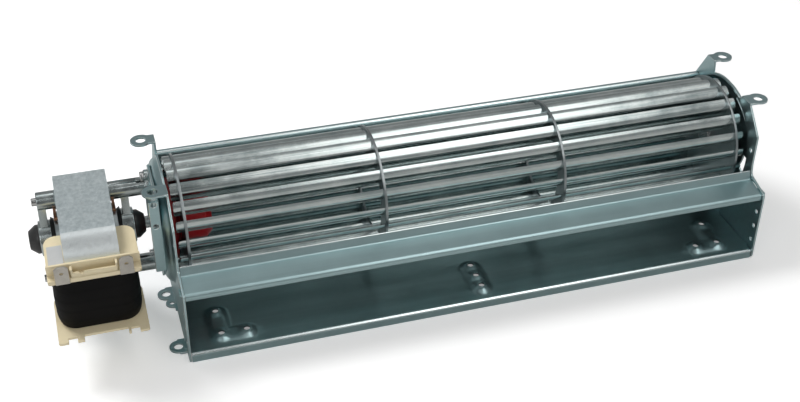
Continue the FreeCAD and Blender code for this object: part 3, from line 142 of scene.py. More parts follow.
class FanMotorSettings(bpy.types.PropertyGroup):
    """The shaded pole motor."""
    tilt: angle("Tilt", "How far the coil end hangs below level", 9.0)
    laminations: number("Laminations", "Sheets in the stator's pack", 38)
    lamination_gap: distance("Lamination Gap", "Groove between two sheets", 0.03)
    shift: distance("Lamination Shift", "Largest uneven place of a sheet", 0.012)
    seed: number("Seed", "Seed of the uneven places", 3)
    casting_edge: distance("Casting Edge", "Rounding of the castings' edges", 0.45)
    moulded_edge: distance("Moulded Edge", "Rounding of the mouldings' edges", 0.3)
    cap_edge: distance("Cap Edge", "Rounding of the bearing caps' edges", 0.21)
    coupling_edge: distance("Coupling Edge", "Rounding of the coupling's edges", 0.4)
    rubber_edge: distance("Rubber Edge", "Rounding of the tail bearing's rubber", 0.3)
    strip_edge: distance("Strip Edge", "Rounding of the terminals and shading rings", 0.15)
    screw_edge: distance("Screw Edge", "Rounding of the screws and the tail shaft", 0.25)
    coil_corner: distance("Coil Corner", "Corner radius of the winding", 9.0)
    label_height: distance("Label Height", "Height of the blank label", 15.0)
    label_place: distance("Label Place", "The label's middle in front of the shaft", 31.0)
    label_level: distance("Label Level", "The label's middle above the motor's middle", 16.76)
    label_inset: distance("Label Inset", "The label inside the bobbin's end", 1.2)
    label_room: distance("Label Room", "The label clear of the core", 0.4)
    label_foil: distance("Label Foil", "Thickness of the label", 0.08)
    barrel: distance("Barrel", "How far the winding's ends draw in", 2.2)
    tape_step: distance("Tape Step", "Height of the tape's overlaps", 0.12)
    tape_turns: number("Tape Turns", "Overlaps of the tape along the winding", 5)


class FanStageSettings(bpy.types.PropertyGroup):
    """The studio round the fan."""
    camera_place: bpy.props.FloatVectorProperty(
        name="Camera Place", description="Where the camera stands",
        default=(-0.188205, -0.488921, 0.406893), subtype="TRANSLATION", unit="LENGTH")
    camera_azimuth: angle("Camera Azimuth", "Which side of the fan the camera sees", -17.2205)
    camera_elevation: angle("Camera Elevation", "How far the camera looks down", 34.8726)
    camera_roll: angle("Camera Roll", "How far the camera leans to its left", 0.7362)
    lens: bpy.props.FloatProperty(
        name="Lens", description="Focal length on a 36 mm wide sensor", default=56.359, unit="CAMERA")
    floor_colour: bpy.props.FloatVectorProperty(
        name="Floor Colour", description="Colour of the floor", default=(0.9, 0.9, 0.9), subtype="COLOR")
    floor_in_gloss: bpy.props.FloatVectorProperty(
        name="Floor In Reflections", description="Colour of the floor where metal mirrors it",
        default=(0.56, 0.55, 0.54), subtype="COLOR")
    floor_half: distance("Floor Half", "Half the floor's side", 6000.0)
    floor_glow: bpy.props.FloatProperty(
        name="Floor Glow", description="How much the floor shines towards the camera", default=0.3,
        subtype="FACTOR")


# Node trees

def tree_node(tree, kind, links=None, **values):
    """One node; values set its properties or, where it has none so named, its sockets."""
    made = tree.nodes.new(kind)
    for name, value in values.items():
        if hasattr(made, name):
            setattr(made, name, value)
        else:
            made.inputs[name.replace("_", " ")].default_value = value
    for name, source in (links or {}).items():
        tree.links.new(source, made.inputs[name])
    return made


def math_node(tree, operation, first, second, clamp=False):
    """A math node whose inputs are sockets or plain numbers."""
    made = tree.nodes.new("ShaderNodeMath")
    made.operation = operation
    made.use_clamp = clamp
    for place, value in enumerate((first, second)):
        if isinstance(value, bpy.types.NodeSocket):
            tree.links.new(value, made.inputs[place])
        else:
            made.inputs[place].default_value = value
    return made.outputs[0]


def new_group(name, inputs, outputs):
    """An empty shader group with float or vector sockets."""
    group = bpy.data.node_groups.new(name, "ShaderNodeTree")
    for label, kind, default in inputs:
        socket = group.interface.new_socket(label, in_out="INPUT", socket_type=kind)
        if default is not None:
            socket.default_value = default
    for label, kind in outputs:
        group.interface.new_socket(label, in_out="OUTPUT", socket_type=kind)
    start = group.nodes.new("NodeGroupInput")
    end = group.nodes.new("NodeGroupOutput")
    return group, start, end


FLOAT = "NodeSocketFloat"
VECTOR = "NodeSocketVector"


def build_streaks():
    """Long scratches and rolling marks: noise drawn out along X."""
    group, start, end = new_group("Rolling Marks", [
        ("Place", VECTOR, None), ("Fineness", FLOAT, 900.0), ("Stretch", FLOAT, 40.0),
        ("Contrast", FLOAT, 2.0), ("Octaves", FLOAT, 4.0)],
        [("Mask", FLOAT)])
    along = math_node(group, "DIVIDE", 1.0, start.outputs["Stretch"])
    scale = tree_node(group, "ShaderNodeCombineXYZ", {"X": along}, Y=1.0, Z=1.0)
    drawn = tree_node(group, "ShaderNodeVectorMath", {0: start.outputs["Place"], 1: scale.outputs[0]},
                      operation="MULTIPLY")
    noise = tree_node(group, "ShaderNodeTexNoise",
                      {"Vector": drawn.outputs[0], "Scale": start.outputs["Fineness"],
                       "Detail": start.outputs["Octaves"]}, Roughness=0.6)
    centred = math_node(group, "SUBTRACT", noise.outputs["Fac"], 0.5)
    steep = math_node(group, "MULTIPLY", centred, start.outputs["Contrast"])
    group.links.new(math_node(group, "ADD", steep, 0.5, clamp=True), end.inputs["Mask"])
    return group


def build_spangle():
    """Zinc crystals: patches of slightly different grey with soft clouds over them."""
    group, start, end = new_group("Zinc Spangle", [
        ("Place", VECTOR, None), ("Crystal Scale", FLOAT, 420.0), ("Cloud Scale", FLOAT, 40.0)],
        [("Mask", FLOAT), ("Clouds", FLOAT)])
    wobble = tree_node(group, "ShaderNodeTexNoise", {"Vector": start.outputs["Place"]},
                       Scale=300.0, Detail=2.0)
    shift = tree_node(group, "ShaderNodeVectorMath", {0: wobble.outputs["Color"]},
                      operation="SCALE", Scale=0.003)
    moved = tree_node(group, "ShaderNodeVectorMath", {0: start.outputs["Place"], 1: shift.outputs[0]},
                      operation="ADD")
    cells = tree_node(group, "ShaderNodeTexVoronoi",
                      {"Vector": moved.outputs[0], "Scale": start.outputs["Crystal Scale"]})
    parts = tree_node(group, "ShaderNodeSeparateColor", {0: cells.outputs["Color"]})
    group.links.new(parts.outputs[0], end.inputs["Mask"])
    clouds = tree_node(group, "ShaderNodeTexNoise",
                       {"Vector": start.outputs["Place"], "Scale": start.outputs["Cloud Scale"]},
                       Detail=5.0, Roughness=0.62)
    group.links.new(spread(group, clouds.outputs["Fac"], 0.0, 1.0, 0.3, 0.7), end.inputs["Clouds"])
    return group


def build_grain():
    """Fine even grain for castings and mouldings."""
    group, start, end = new_group("Fine Grain", [
        ("Place", VECTOR, None), ("Grain Scale", FLOAT, 2500.0), ("Patch Scale", FLOAT, 120.0)],
        [("Height", FLOAT), ("Patches", FLOAT)])
    grain = tree_node(group, "ShaderNodeTexNoise",
                      {"Vector": start.outputs["Place"], "Scale": start.outputs["Grain Scale"]},
                      Detail=3.0, Roughness=0.7)
    group.links.new(grain.outputs["Fac"], end.inputs["Height"])
    patch = tree_node(group, "ShaderNodeTexNoise",
                      {"Vector": start.outputs["Place"], "Scale": start.outputs["Patch Scale"]},
                      Detail=4.0, Roughness=0.6)
    group.links.new(spread(group, patch.outputs["Fac"], 0.0, 1.0, 0.3, 0.7), end.inputs["Patches"])
    return group


GROUPS = {}
ROUGH_SPREAD = 0.06


def group_node(tree, name, place, **values):
    made = tree.nodes.new("ShaderNodeGroup")
    made.node_tree = GROUPS[name]
    tree.links.new(place, made.inputs["Place"])
    for label, value in values.items():
        made.inputs[label.replace("_", " ")].default_value = value
    return made


def start_material(name, **sockets):
    """A material with its Principled shader and the object coordinates."""
    material = bpy.data.materials.new(name)
    material.use_nodes = True
    tree = material.node_tree
    shader = tree.nodes["Principled BSDF"]
    for label, value in sockets.items():
        shader.inputs[label.replace("_", " ")].default_value = value
    place = tree.nodes.new("ShaderNodeTexCoord").outputs["Object"]
    return material, tree, shader, place


def colour_between(tree, mask, low, high):
    """A colour that runs from low to high with a mask."""
    mix = tree.nodes.new("ShaderNodeMix")
    mix.data_type = "RGBA"
    tree.links.new(mask, mix.inputs["Factor"])
    sockets = [s for s in mix.inputs if s.type == "RGBA"]
    for socket, value in zip(sockets, (low, high)):
        if isinstance(value, bpy.types.NodeSocket):
            tree.links.new(value, socket)
        else:
            socket.default_value = (*value, 1.0)
    return [s for s in mix.outputs if s.type == "RGBA"][0]


def spread(tree, value, low, high, from_low=0.0, from_high=1.0, kind="LINEAR"):
    """A value rescaled to run from low to high."""
    made = tree.nodes.new("ShaderNodeMapRange")
    made.interpolation_type = kind
    tree.links.new(value, made.inputs["Value"])
    for label, end in (("From Min", from_low), ("From Max", from_high), ("To Min", low), ("To Max", high)):
        made.inputs[label].default_value = end
    return made.outputs[0]


def feed(tree, shader, **sources):
    """Link sources to the shader's sockets of those names."""
    for label, source in sources.items():
        tree.links.new(source, shader.inputs[label.replace("_", " ")])


def bump(tree, shader, height, strength, reach):
    made = tree_node(tree, "ShaderNodeBump", {"Height": height}, Strength=strength, Distance=reach)
    feed(tree, shader, Normal=made.outputs[0])


def edge_and_highlight_mask(tree):
    """The mark that dressed pieces carry on their rounded edges, and that also picks the faces given a
    painted highlight.
    """
    made = tree.nodes.new("ShaderNodeAttribute")
    made.attribute_name = "edge"
    return made.outputs["Fac"]


def zinc_sheet(name, dark, light, edge, rough_low=0.285, rough_high=0.35, crystal_share=0.08,
               edge_polish=0.12):
    """Galvanised sheet with crystals, clouds, rolling marks and brighter cut edges; the same edge colour
    paints highlight lines on the faces marked for them.
    """
    material, tree, shader, place = start_material(name, Metallic=0.95)
    zinc = group_node(tree, "Zinc Spangle", place)
    marks = group_node(tree, "Rolling Marks", place,
                       Fineness=380.0, Stretch=30.0, Contrast=1.4, Octaves=1.0)
    crystals = math_node(tree, "MULTIPLY", zinc.outputs["Mask"], crystal_share)
    mixed = math_node(tree, "ADD", crystals, zinc.outputs["Clouds"])
    summed = math_node(tree, "ADD", mixed, marks.outputs["Mask"])
    body = colour_between(tree, spread(tree, summed, 0.0, 1.0, 0.2, 2.0), dark, light)
    # Marked faces take the bright edge colour: bare cut edges, and painted highlight lines on the curl's
    # crest, the lip's bend, the deflector's ridge and its hem.
    edge_and_highlight = edge_and_highlight_mask(tree)
    rough = spread(tree, zinc.outputs["Clouds"], rough_low, rough_high)
    polish = math_node(tree, "MULTIPLY", edge_and_highlight, edge_polish)
    feed(tree, shader, Base_Color=colour_between(tree, edge_and_highlight, body, edge),
         Roughness=math_node(tree, "SUBTRACT", rough, polish))
    return material


def rolled_metal(name, dark, light, rough_low, rough_high, stretch=80.0, fineness=1800.0):
    """Bright rolled strip with long fine marks."""
    material, tree, shader, place = start_material(name, Metallic=1.0)
    marks = group_node(tree, "Rolling Marks", place, Fineness=fineness, Stretch=stretch, Contrast=2.4)
    soft = group_node(tree, "Fine Grain", place, Grain_Scale=900.0, Patch_Scale=60.0)
    speckle = math_node(tree, "MULTIPLY", soft.outputs["Patches"], 0.5)
    lines = math_node(tree, "MULTIPLY", marks.outputs["Mask"], 0.6)
    mask = math_node(tree, "ADD", lines, speckle, clamp=True)
    feed(tree, shader, Base_Color=colour_between(tree, mask, dark, light),
         Roughness=spread(tree, soft.outputs["Patches"], rough_low, rough_high))
    bump(tree, shader, marks.outputs["Mask"], 0.07, 0.0001)
    return material


def grained(name, dark, light, rough, grain_scale, patch_scale, strength, reach, **sockets):
    """An even finish with patches of two shades and a fine grain."""
    material, tree, shader, place = start_material(name, **sockets)
    grain = group_node(tree, "Fine Grain", place, Grain_Scale=grain_scale, Patch_Scale=patch_scale)
    patches = grain.outputs["Patches"]
    feed(tree, shader, Base_Color=colour_between(tree, patches, dark, light),
         Roughness=spread(tree, patches, rough - ROUGH_SPREAD, rough + ROUGH_SPREAD))
    bump(tree, shader, grain.outputs["Height"], strength, reach)
    return material


def cast_metal(name, dark, light, metallic, rough):
    return grained(name, dark, light, rough, 1600.0, 150.0, 0.03, 0.0002, Metallic=metallic)


def moulded(name, dark, light, rough, grain_scale=3000.0, strength=0.12, specular=0.5):
    return grained(name, dark, light, rough, grain_scale, 70.0, strength, 0.0001,
                   Specular_IOR_Level=specular)


def core_metal(name, dark, light, satin, bend_polish=0.14):
    """Stacked sheets: matt and speckled, but satin round the bends, where the marked faces take a brighter
    painted highlight colour.
    """
    material, tree, shader, place = start_material(name, Metallic=0.75)
    grain = group_node(tree, "Fine Grain", place, Grain_Scale=1400.0, Patch_Scale=500.0)
    body = colour_between(tree, grain.outputs["Patches"], dark, light)
    bend = edge_and_highlight_mask(tree)
    rough = spread(tree, grain.outputs["Patches"], 0.42, 0.5)
    polish = math_node(tree, "MULTIPLY", bend, bend_polish)
    feed(tree, shader, Base_Color=colour_between(tree, bend, body, satin),
         Roughness=math_node(tree, "SUBTRACT", rough, polish), Metallic=spread(tree, bend, 0.75, 1.0))
    bump(tree, shader, grain.outputs["Height"], 0.015, 0.0002)
    return material


MATERIALS = {}


def build_materials():
    GROUPS["Rolling Marks"] = build_streaks()
    GROUPS["Zinc Spangle"] = build_spangle()
    GROUPS["Fine Grain"] = build_grain()
    MATERIALS.update({
        # The third zinc colour is the bright edge colour: cut edges, and painted highlight lines where
        # faces are marked.
        "zinc": zinc_sheet("Zinc Sheet", (0.39, 0.54, 0.56), (0.48, 0.65, 0.67), (0.86, 0.94, 0.94)),
        "blade": rolled_metal("Blade Strip", (0.36, 0.45, 0.455), (0.80, 0.86, 0.85), 0.12, 0.26),
        "disc": rolled_metal("Disc Strip", (0.30, 0.34, 0.35), (0.46, 0.50, 0.51), 0.28, 0.4, stretch=4.0),
        "steel": rolled_metal("Plated Steel", (0.5, 0.51, 0.51), (0.72, 0.73, 0.73), 0.15, 0.27,
                              stretch=6.0),
        # The laminations' third colour is the painted highlight on the bend's forward and upward facing
        # faces.
        "laminations": core_metal("Laminations", (0.54, 0.63, 0.65), (0.78, 0.86, 0.88),
                                  (0.84, 0.90, 0.91)),
        "casting": cast_metal("Die Casting", (0.44, 0.50, 0.50), (0.58, 0.64, 0.64), 1.0, 0.21),
        "bronze": cast_metal("Sintered Bronze", (0.40, 0.26, 0.13), (0.55, 0.38, 0.20), 0.9, 0.4),
        "copper": cast_metal("Copper Wire", (0.45, 0.22, 0.14), (0.6, 0.32, 0.2), 1.0, 0.34),
        "tin": cast_metal("Tinned Brass", (0.5, 0.48, 0.44), (0.66, 0.64, 0.58), 0.9, 0.36),
        "cream": moulded("Cream Moulding", (0.74, 0.64, 0.42), (0.82, 0.72, 0.50), 0.42),
        "label": moulded("Blank Label", (0.50, 0.51, 0.51), (0.58, 0.59, 0.59), 0.35, strength=0.02),
        "tape": moulded("Winding Tape", (0.003, 0.003, 0.003), (0.006, 0.006, 0.006), 0.6, specular=0.12),
        "black": moulded("Black Moulding", (0.02, 0.021, 0.021), (0.042, 0.043, 0.043), 0.34),
        "red": moulded("Red Rubber", (0.55, 0.006, 0.012), (0.70, 0.012, 0.022), 0.36),
        "felt": moulded("Felt", (0.4, 0.38, 0.33), (0.6, 0.57, 0.5), 0.9, 1200.0, 0.8),
    })


FINISHES = {
    "zinc": ("scroll_casing", "front_deflector", "left_side_plate", "right_side_plate",
             "motor_mount_bracket"),
    "blade": ("impeller_blades",),
    "disc": ("left_end_disc", "left_middle_ring", "right_middle_ring", "right_end_disc", "rotor_end_rings"),
    "steel": ("motor_foot_screws", "bracket_screws", "motor_shaft", "tail_shaft"),
    "laminations": ("stator_core", "coil_core", "rotor_core"),
    "casting": ("outer_bearing_bracket", "inner_bearing_bracket"),
    "bronze": ("tail_bearing", "outer_sleeve_bearing", "inner_sleeve_bearing"),
    "copper": ("shading_rings",),
    "tin": ("left_terminal", "right_terminal"),
    "cream": ("coil_bobbin",),
    "tape": ("coil_winding",),
    "black": ("tail_bearing_rubber", "outer_bearing_cap", "inner_bearing_cap", "outer_bearing_retainer",
              "inner_bearing_retainer", "thrust_washers", "tail_thrust_washer"),
    "red": ("flexible_coupling",),
    "felt": ("outer_felt_ring", "inner_felt_ring"),
}
NODE_MATERIALS = {node: finish for finish, nodes in FINISHES.items() for node in nodes}
BODIES = {node: body for body, nodes in frame["record"]["behaviour"]["bodies"].items() for node in nodes}


def finish_node(name):
    """Give a CAD node its material."""
    obj = frame["nodes"][name]
    obj.data.materials.clear()
    obj.data.materials.append(MATERIALS[NODE_MATERIALS[name]])


# Mesh helpers

WELD = 0.002 * MM
FLAT_WITHIN = math.radians(0.8)
# Least agreement of a face's normal with the first surface's, on a rounding and elsewhere
ROUNDED_AGREES = -0.2
KEPT_AGREES = 0.6


def linked(name, data):
    """A new object in the scene."""
    obj = bpy.data.objects.new(name, data)
    bpy.context.scene.collection.objects.link(obj)
    return obj


def to_mesh(shape, name, smooth_below=math.radians(34)):
    """A mesh from a bmesh, smooth but for its edges sharper than an angle."""
    mesh = bpy.data.meshes.new(name)
    shape.to_mesh(mesh)
    shape.free()
    mesh.shade_smooth()
    mesh.set_sharp_from_angle(angle=smooth_below)
    return mesh


def welded(node, joined=True):
    """A CAD node's shape with its doubles merged and, if asked, its flat triangles joined."""
    shape = bmesh.new()
    shape.from_mesh(frame["nodes"][node].data)
    bmesh.ops.remove_doubles(shape, verts=shape.verts, dist=WELD)
    if joined:
        bmesh.ops.dissolve_limit(shape, angle_limit=FLAT_WITHIN, verts=shape.verts, edges=shape.edges)
    return shape


def trouble_spots(shape, surface, mark, reach):
    """Places where a rounding has strayed from the first surface or folded over."""
    spots = []
    for vertex in shape.verts:
        if surface.find_nearest(vertex.co)[3] > reach:
            spots += [edge.other_vert(vertex).co.copy() for edge in vertex.link_edges]
    for face in shape.faces:
        middle = face.calc_center_median()
        _, normal, _, away = surface.find_nearest(middle)
        least = ROUNDED_AGREES if face[mark] else KEPT_AGREES
        if away > reach or face.normal.dot(normal) < least:
            spots += [vertex.co.copy() for vertex in face.verts if (vertex.co - middle).length < 4 * reach]
            spots.append(middle)
    return spots


def round_edges(source, width, segments=2, sharper_than=math.radians(38), chosen=lambda edge: True):
    """A copy of a shape with its sharp edges rounded and marked. Where that fails, edges stay sharp."""
    surface = BVHTree.FromBMesh(source)
    source.edges.ensure_lookup_table()
    wanted = {edge.index for edge in source.edges if len(edge.link_faces) == 2
              and edge.calc_face_angle(0.0) > sharper_than and chosen(edge)}
    for _ in range(12):
        shape = source.copy()
        shape.edges.ensure_lookup_table()
        mark = shape.faces.layers.float.get("edge") or shape.faces.layers.float.new("edge")
        made = bmesh.ops.bevel(shape, geom=[shape.edges[index] for index in sorted(wanted)], offset=width,
                               offset_type="OFFSET", segments=segments, profile=0.6, affect="EDGES",
                               clamp_overlap=False)
        for face in made["faces"]:
            face[mark] = 1.0
        shape.normal_update()
        spots = trouble_spots(shape, surface, mark, width)
        failing = {index for index in wanted if near_edge(source.edges[index], spots, 1.6 * width)}
        if not failing:
            break
        wanted -= failing
        shape.free()
    source.free()
    return shape


def near_edge(edge, spots, reach):
    """Whether any of the spots lies within reach of an edge."""
    start, end = (vertex.co for vertex in edge.verts)
    run = end - start
    for spot in spots:
        share = min(max((spot - start).dot(run) / max(run.length_squared, 1e-12), 0.0), 1.0)
        if (spot - start - run * share).length < reach:
            return True
    return False


def stand_in(mesh, name, nodes):
    """Show a mesh in place of CAD nodes, on their body and with their finish."""
    obj = linked(name, mesh)
    mesh.materials.clear()
    mesh.materials.append(MATERIALS[NODE_MATERIALS[nodes[0]]])
    weight = obj.modifiers.new("Even Shading", "WEIGHTED_NORMAL")
    weight.keep_sharp = True
    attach(obj, BODIES[nodes[0]])
    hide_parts(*nodes)
    return obj


def dress(node, width, segments=2, joined=True):
    """Stand a copy with rounded edges in for a CAD node."""
    shape = round_edges(welded(node, joined), width, segments)
    return stand_in(to_mesh(shape, node + "_dressed"), node + "_dressed", [node])


def evaluated(mesh, name, setup):
    """The mesh that a modifier makes of another; the modifier goes with its object."""
    source = linked(name, mesh)
    setup(source)
    graph = bpy.context.evaluated_depsgraph_get()
    result = bpy.data.meshes.new_from_object(source.evaluated_get(graph), depsgraph=graph)
    bpy.data.objects.remove(source)
    return result


def repeat_tree(name, turning):
    """Copies of a piece, turned round the shaft or set in a row along it, each a little uneven."""
    tree = bpy.data.node_groups.new(name, "GeometryNodeTree")
    tree.interface.new_socket("Geometry", in_out="INPUT", socket_type="NodeSocketGeometry")
    for label, kind in (("Count", "NodeSocketInt"), ("Start", VECTOR), ("Step", FLOAT), ("Uneven", FLOAT),
                        ("Seed", "NodeSocketInt"), ("Material", "NodeSocketMaterial")):
        tree.interface.new_socket(label, in_out="INPUT", socket_type=kind)
    tree.interface.new_socket("Geometry", in_out="OUTPUT", socket_type="NodeSocketGeometry")
    start = tree.nodes.new("NodeGroupInput")
    end = tree.nodes.new("NodeGroupOutput")
    index = tree.nodes.new("GeometryNodeInputIndex")
    along = math_node(tree, "MULTIPLY", index.outputs[0], start.outputs["Step"])
    chance = tree_node(tree, "FunctionNodeRandomValue", data_type="FLOAT_VECTOR")
    tree.links.new(start.outputs["Seed"], chance.inputs["Seed"])
    chance.inputs["Min"].default_value = (-1.0, -1.0, -1.0)
    chance.inputs["Max"].default_value = (1.0, 1.0, 1.0)
    uneven = tree_node(tree, "ShaderNodeVectorMath",
                       {0: chance.outputs["Value"], "Scale": start.outputs["Uneven"]}, operation="SCALE")
    step = tree_node(tree, "ShaderNodeCombineXYZ", {"X": along})
    points = tree.nodes.new("GeometryNodePoints")
    tree.links.new(start.outputs["Count"], points.inputs["Count"])
    copies = tree.nodes.new("GeometryNodeInstanceOnPoints")
    tree.links.new(points.outputs[0], copies.inputs["Points"])
    tree.links.new(start.outputs["Geometry"], copies.inputs["Instance"])
    if turning:
        parts = tree_node(tree, "ShaderNodeSeparateXYZ", {0: uneven.outputs[0]})
        turn = math_node(tree, "ADD", along, parts.outputs["X"])
        spin = tree_node(tree, "ShaderNodeCombineXYZ", {"X": turn})
        tree.links.new(start.outputs["Start"], points.inputs["Position"])
        tree.links.new(spin.outputs[0], copies.inputs["Rotation"])
    else:
        across = tree_node(tree, "ShaderNodeVectorMath", {0: uneven.outputs[0]}, operation="MULTIPLY")
        across.inputs[1].default_value = (0.0, 1.0, 1.0)
        placed = tree_node(tree, "ShaderNodeVectorMath", {0: start.outputs["Start"], 1: step.outputs[0]},
                           operation="ADD")
        spot = tree_node(tree, "ShaderNodeVectorMath", {0: placed.outputs[0], 1: across.outputs[0]},
                         operation="ADD")
        tree.links.new(spot.outputs[0], points.inputs["Position"])
    whole = tree_node(tree, "GeometryNodeRealizeInstances", {0: copies.outputs[0]})
    coated = tree_node(tree, "GeometryNodeSetMaterial", {0: whole.outputs[0]})
    tree.links.new(start.outputs["Material"], coated.inputs["Material"])
    tree.links.new(coated.outputs[0], end.inputs[0])
    return tree


def repeated(mesh, name, tree, values):
    """The mesh that a repeat tree makes of one piece."""
    def setup(source):
        modifier = source.modifiers.new("Repeat", "NODES")
        modifier.node_group = tree
        for item in tree.interface.items_tree:
            if item.in_out == "INPUT" and item.name in values:
                modifier[item.identifier] = values[item.name]
    return evaluated(mesh, name, setup)


# Galvanised sheets

def spiral(settings):
    """The scroll's growth rate, at which its lowest point meets the floor."""
    drop = SHAFT.z - settings.floor_rise
    growth = 0.1
    for _ in range(30):
        slope = math.atan(growth)
        sweep = settings.start_angle + math.pi / 2 + slope
        growth = math.log(drop / math.cos(slope) / settings.start_radius) / sweep
    return growth


def spiral_point(settings, growth, share, offset):
    """A point of the scroll wall about the shaft, from 0 at the curled edge to 1 at the floor."""
    slope = math.atan(growth)
    turned_by = (settings.start_angle + math.pi / 2 + slope) * share
    turn = settings.start_angle - turned_by
    radius = settings.start_radius * math.exp(growth * turned_by)
    return Vector((radius * math.cos(turn) + offset * math.cos(turn + slope),
                   radius * math.sin(turn) + offset * math.sin(turn + slope)))


def casing_path(settings):
    """The middle line of the casing's sheet, from the lip's lower edge to the end of the curl."""
    half = settings.sheet / 2
    front = -settings.front + half
    level = -SHAFT.z + settings.floor_rise - half
    bend = settings.lip_bend
    points = [Vector((front, -SHAFT.z)), Vector((front, level - 2 * bend))]
    for step in range(9):
        turn = math.pi - step * math.pi / 16
        points.append(Vector((front + bend + bend * math.cos(turn), level - bend + bend * math.sin(turn))))
    growth = spiral(settings)
    back = spiral_point(settings, growth, 1, half)
    fine_end = -settings.pad_back + settings.pad_radius + 1 * MM
    y = points[-1].x
    while y < fine_end:
        y += settings.fine_step
        points.append(Vector((y, level)))
    for step in range(1, 7):
        points.append(Vector((fine_end + (back.x - fine_end) * step / 7, level)))
    turns = 72
    for step in range(turns + 1):
        points.append(spiral_point(settings, growth, 1 - step / turns, half))
    lean = settings.start_angle + math.atan(growth)
    centre = spiral_point(settings, growth, 0, settings.curl)
    for step in range(1, 33):
        turn = lean + math.pi - math.radians(300) * step / 32
        points.append(centre + Vector((math.cos(turn), math.sin(turn))) * (settings.curl - half))
    return points


def side_normals(points):
    """The left-hand normal at each point of a path."""
    normals = []
    for before, after in zip([points[0]] + points[:-1], points[1:] + [points[-1]]):
        run = (after - before).normalized()
        normals.append(Vector((-run.y, run.x)))
    return normals


def pad_lines(settings):
    """The pads' ridge lines and holes in the floor, as points (x, y)."""
    front, back = -settings.pad_front, -settings.pad_back
    column = HALF_WIDTH - settings.pad_column
    inner = HALF_WIDTH - settings.pad_inner
    middle = (front + back) / 2
    lines = [((0, front), (0, back))]
    holes = [(0, front), (0, middle), (0, back)]
    for side in (-1, 1):
        corner, rear, inward = (side * column, front), (side * column, back), (side * inner, front)
        lines += [(corner, rear), (corner, inward)]
        holes += [corner, rear, inward]
    return [(Vector(a), Vector(b)) for a, b in lines], [Vector(hole) for hole in holes]


def eased(share):
    """A smooth step from 0 to 1."""
    share = min(max(share, 0.0), 1.0)
    return share * share * (3 - 2 * share)


def pad_height(place, lines, holes, settings):
    """How far the floor is pressed up at a place."""
    nearest = 1.0
    for start, end in lines:
        run = end - start
        share = min(max((place - start).dot(run) / run.dot(run), 0.0), 1.0)
        nearest = min(nearest, (place - start - run * share).length)
    height = settings.pad_rise * eased((settings.pad_radius - nearest) / (0.62 * settings.pad_radius))
    reach = min((place - hole).length for hole in holes)
    swell = eased((settings.boss_radius - reach) / (settings.boss_radius - settings.hole))
    return height + settings.boss_rise * swell


def grid_lines(settings):
    """Where the casing's sheet is divided along X: finely at the pads."""
    column = HALF_WIDTH - settings.pad_column
    inner = HALF_WIDTH - settings.pad_inner
    reach = settings.pad_radius + 1 * MM
    marks = [0.0]
    fine_ranges = [(0.0, reach), (inner - reach, column + reach)]
    x = 0.0
    while x < HALF_WIDTH - 0.5 * MM:
        fine = any(low - 1e-6 <= x < high for low, high in fine_ranges)
        x += settings.fine_step if fine else settings.coarse_step
        marks.append(min(x, HALF_WIDTH))
    marks[-1] = HALF_WIDTH
    return [-x for x in reversed(marks[1:])] + marks


def rounded_path(corners, radii, steps=12):
    """A path through corners, each rounded by its radius."""
    points = [corners[0]]
    for before, corner, after, radius in zip(corners, corners[1:], corners[2:], radii):
        first, second = (before - corner).normalized(), (after - corner).normalized()
        half = math.acos(max(min(first.dot(second), 1.0), -1.0)) / 2
        centre = corner + (first + second).normalized() * (radius / math.sin(half))
        start = corner + first * (radius / math.tan(half)) - centre
        end = corner + second * (radius / math.tan(half)) - centre
        sweep = math.atan2(start.x * end.y - start.y * end.x, start.dot(end))
        for step in range(steps + 1):
            turn = sweep * step / steps
            points.append(centre + Vector((start.x * math.cos(turn) - start.y * math.sin(turn),
                                           start.x * math.sin(turn) + start.y * math.cos(turn))))
    return points + [corners[-1]]


def strip_shape(shape, points, half, reach, end_steps=0):
    """A sheet strip along a path in the YZ plane about the shaft, with its first edge rounded if asked."""
    normals = side_normals(points)
    outline = [point + normal * half for point, normal in zip(points, normals)]
    back = [point - normal * half for point, normal in zip(points, normals)]
    cap = []
    for step in range(1, end_steps):
        turn = math.pi * step / end_steps
        out, along = normals[0], Vector((normals[0].y, -normals[0].x))
        cap.append(points[0] - out * (half * math.cos(turn)) - along * (half * math.sin(turn)))
    loop = outline + back[::-1] + cap
    rings = []
    for x in (-reach, reach):
        rings.append([shape.verts.new((x, SHAFT.y + point.x, SHAFT.z + point.y)) for point in loop])
    bridge(shape, *rings)
    for ring in rings:
        close_end(shape, ring, len(points))
        if cap:
            shape.faces.new([ring[0]] + [ring[2 * len(points) - 1]] + ring[2 * len(points):])
    bmesh.ops.recalc_face_normals(shape, faces=shape.faces)


def build_deflector(settings):
    """The deflector: ridge, trough, sloping face and hem, with tabs through the side plates."""
    half = settings.sheet / 2
    low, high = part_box("front_deflector")
    hem = low.z - SHAFT.z
    front = low.y - SHAFT.y + half
    ridge = Vector((-settings.ridge_y, -settings.ridge_z))
    trough = ridge - Vector((settings.ridge_width, settings.ridge_depth))
    lip = Vector((front, trough.y - settings.face_drop))
    face = rounded_path([ridge, trough, lip, Vector((front + settings.hem_lean, hem))],
                        [settings.trough_bend, settings.front_bend])
    folded_back = [ridge, ridge + Vector((settings.return_width, -settings.return_depth))]
    shape = bmesh.new()
    for path in (face, folded_back):
        strip_shape(shape, path, half, HALF_WIDTH, 8)
    tab_y = front + settings.deflector_tab
    add_tabs(shape, high.x, tab_y, lip.y + settings.deflector_tab_rise, 0.0, settings)
    shape.normal_update()
    mark = shape.faces.layers.float.new("edge")
    # Faces along the ridge's top and the hem's lower edge take the bright edge colour: painted highlight
    # lines.
    for face in shape.faces:
        level = face.calc_center_median().z - SHAFT.z
        gets_painted_highlight = level > ridge.y + 0.1 * MM or level < hem + 0.3 * MM
        face[mark] = float(gets_painted_highlight)
    stand_in(to_mesh(shape, "deflector_sheet"), "deflector_sheet", ["front_deflector"])


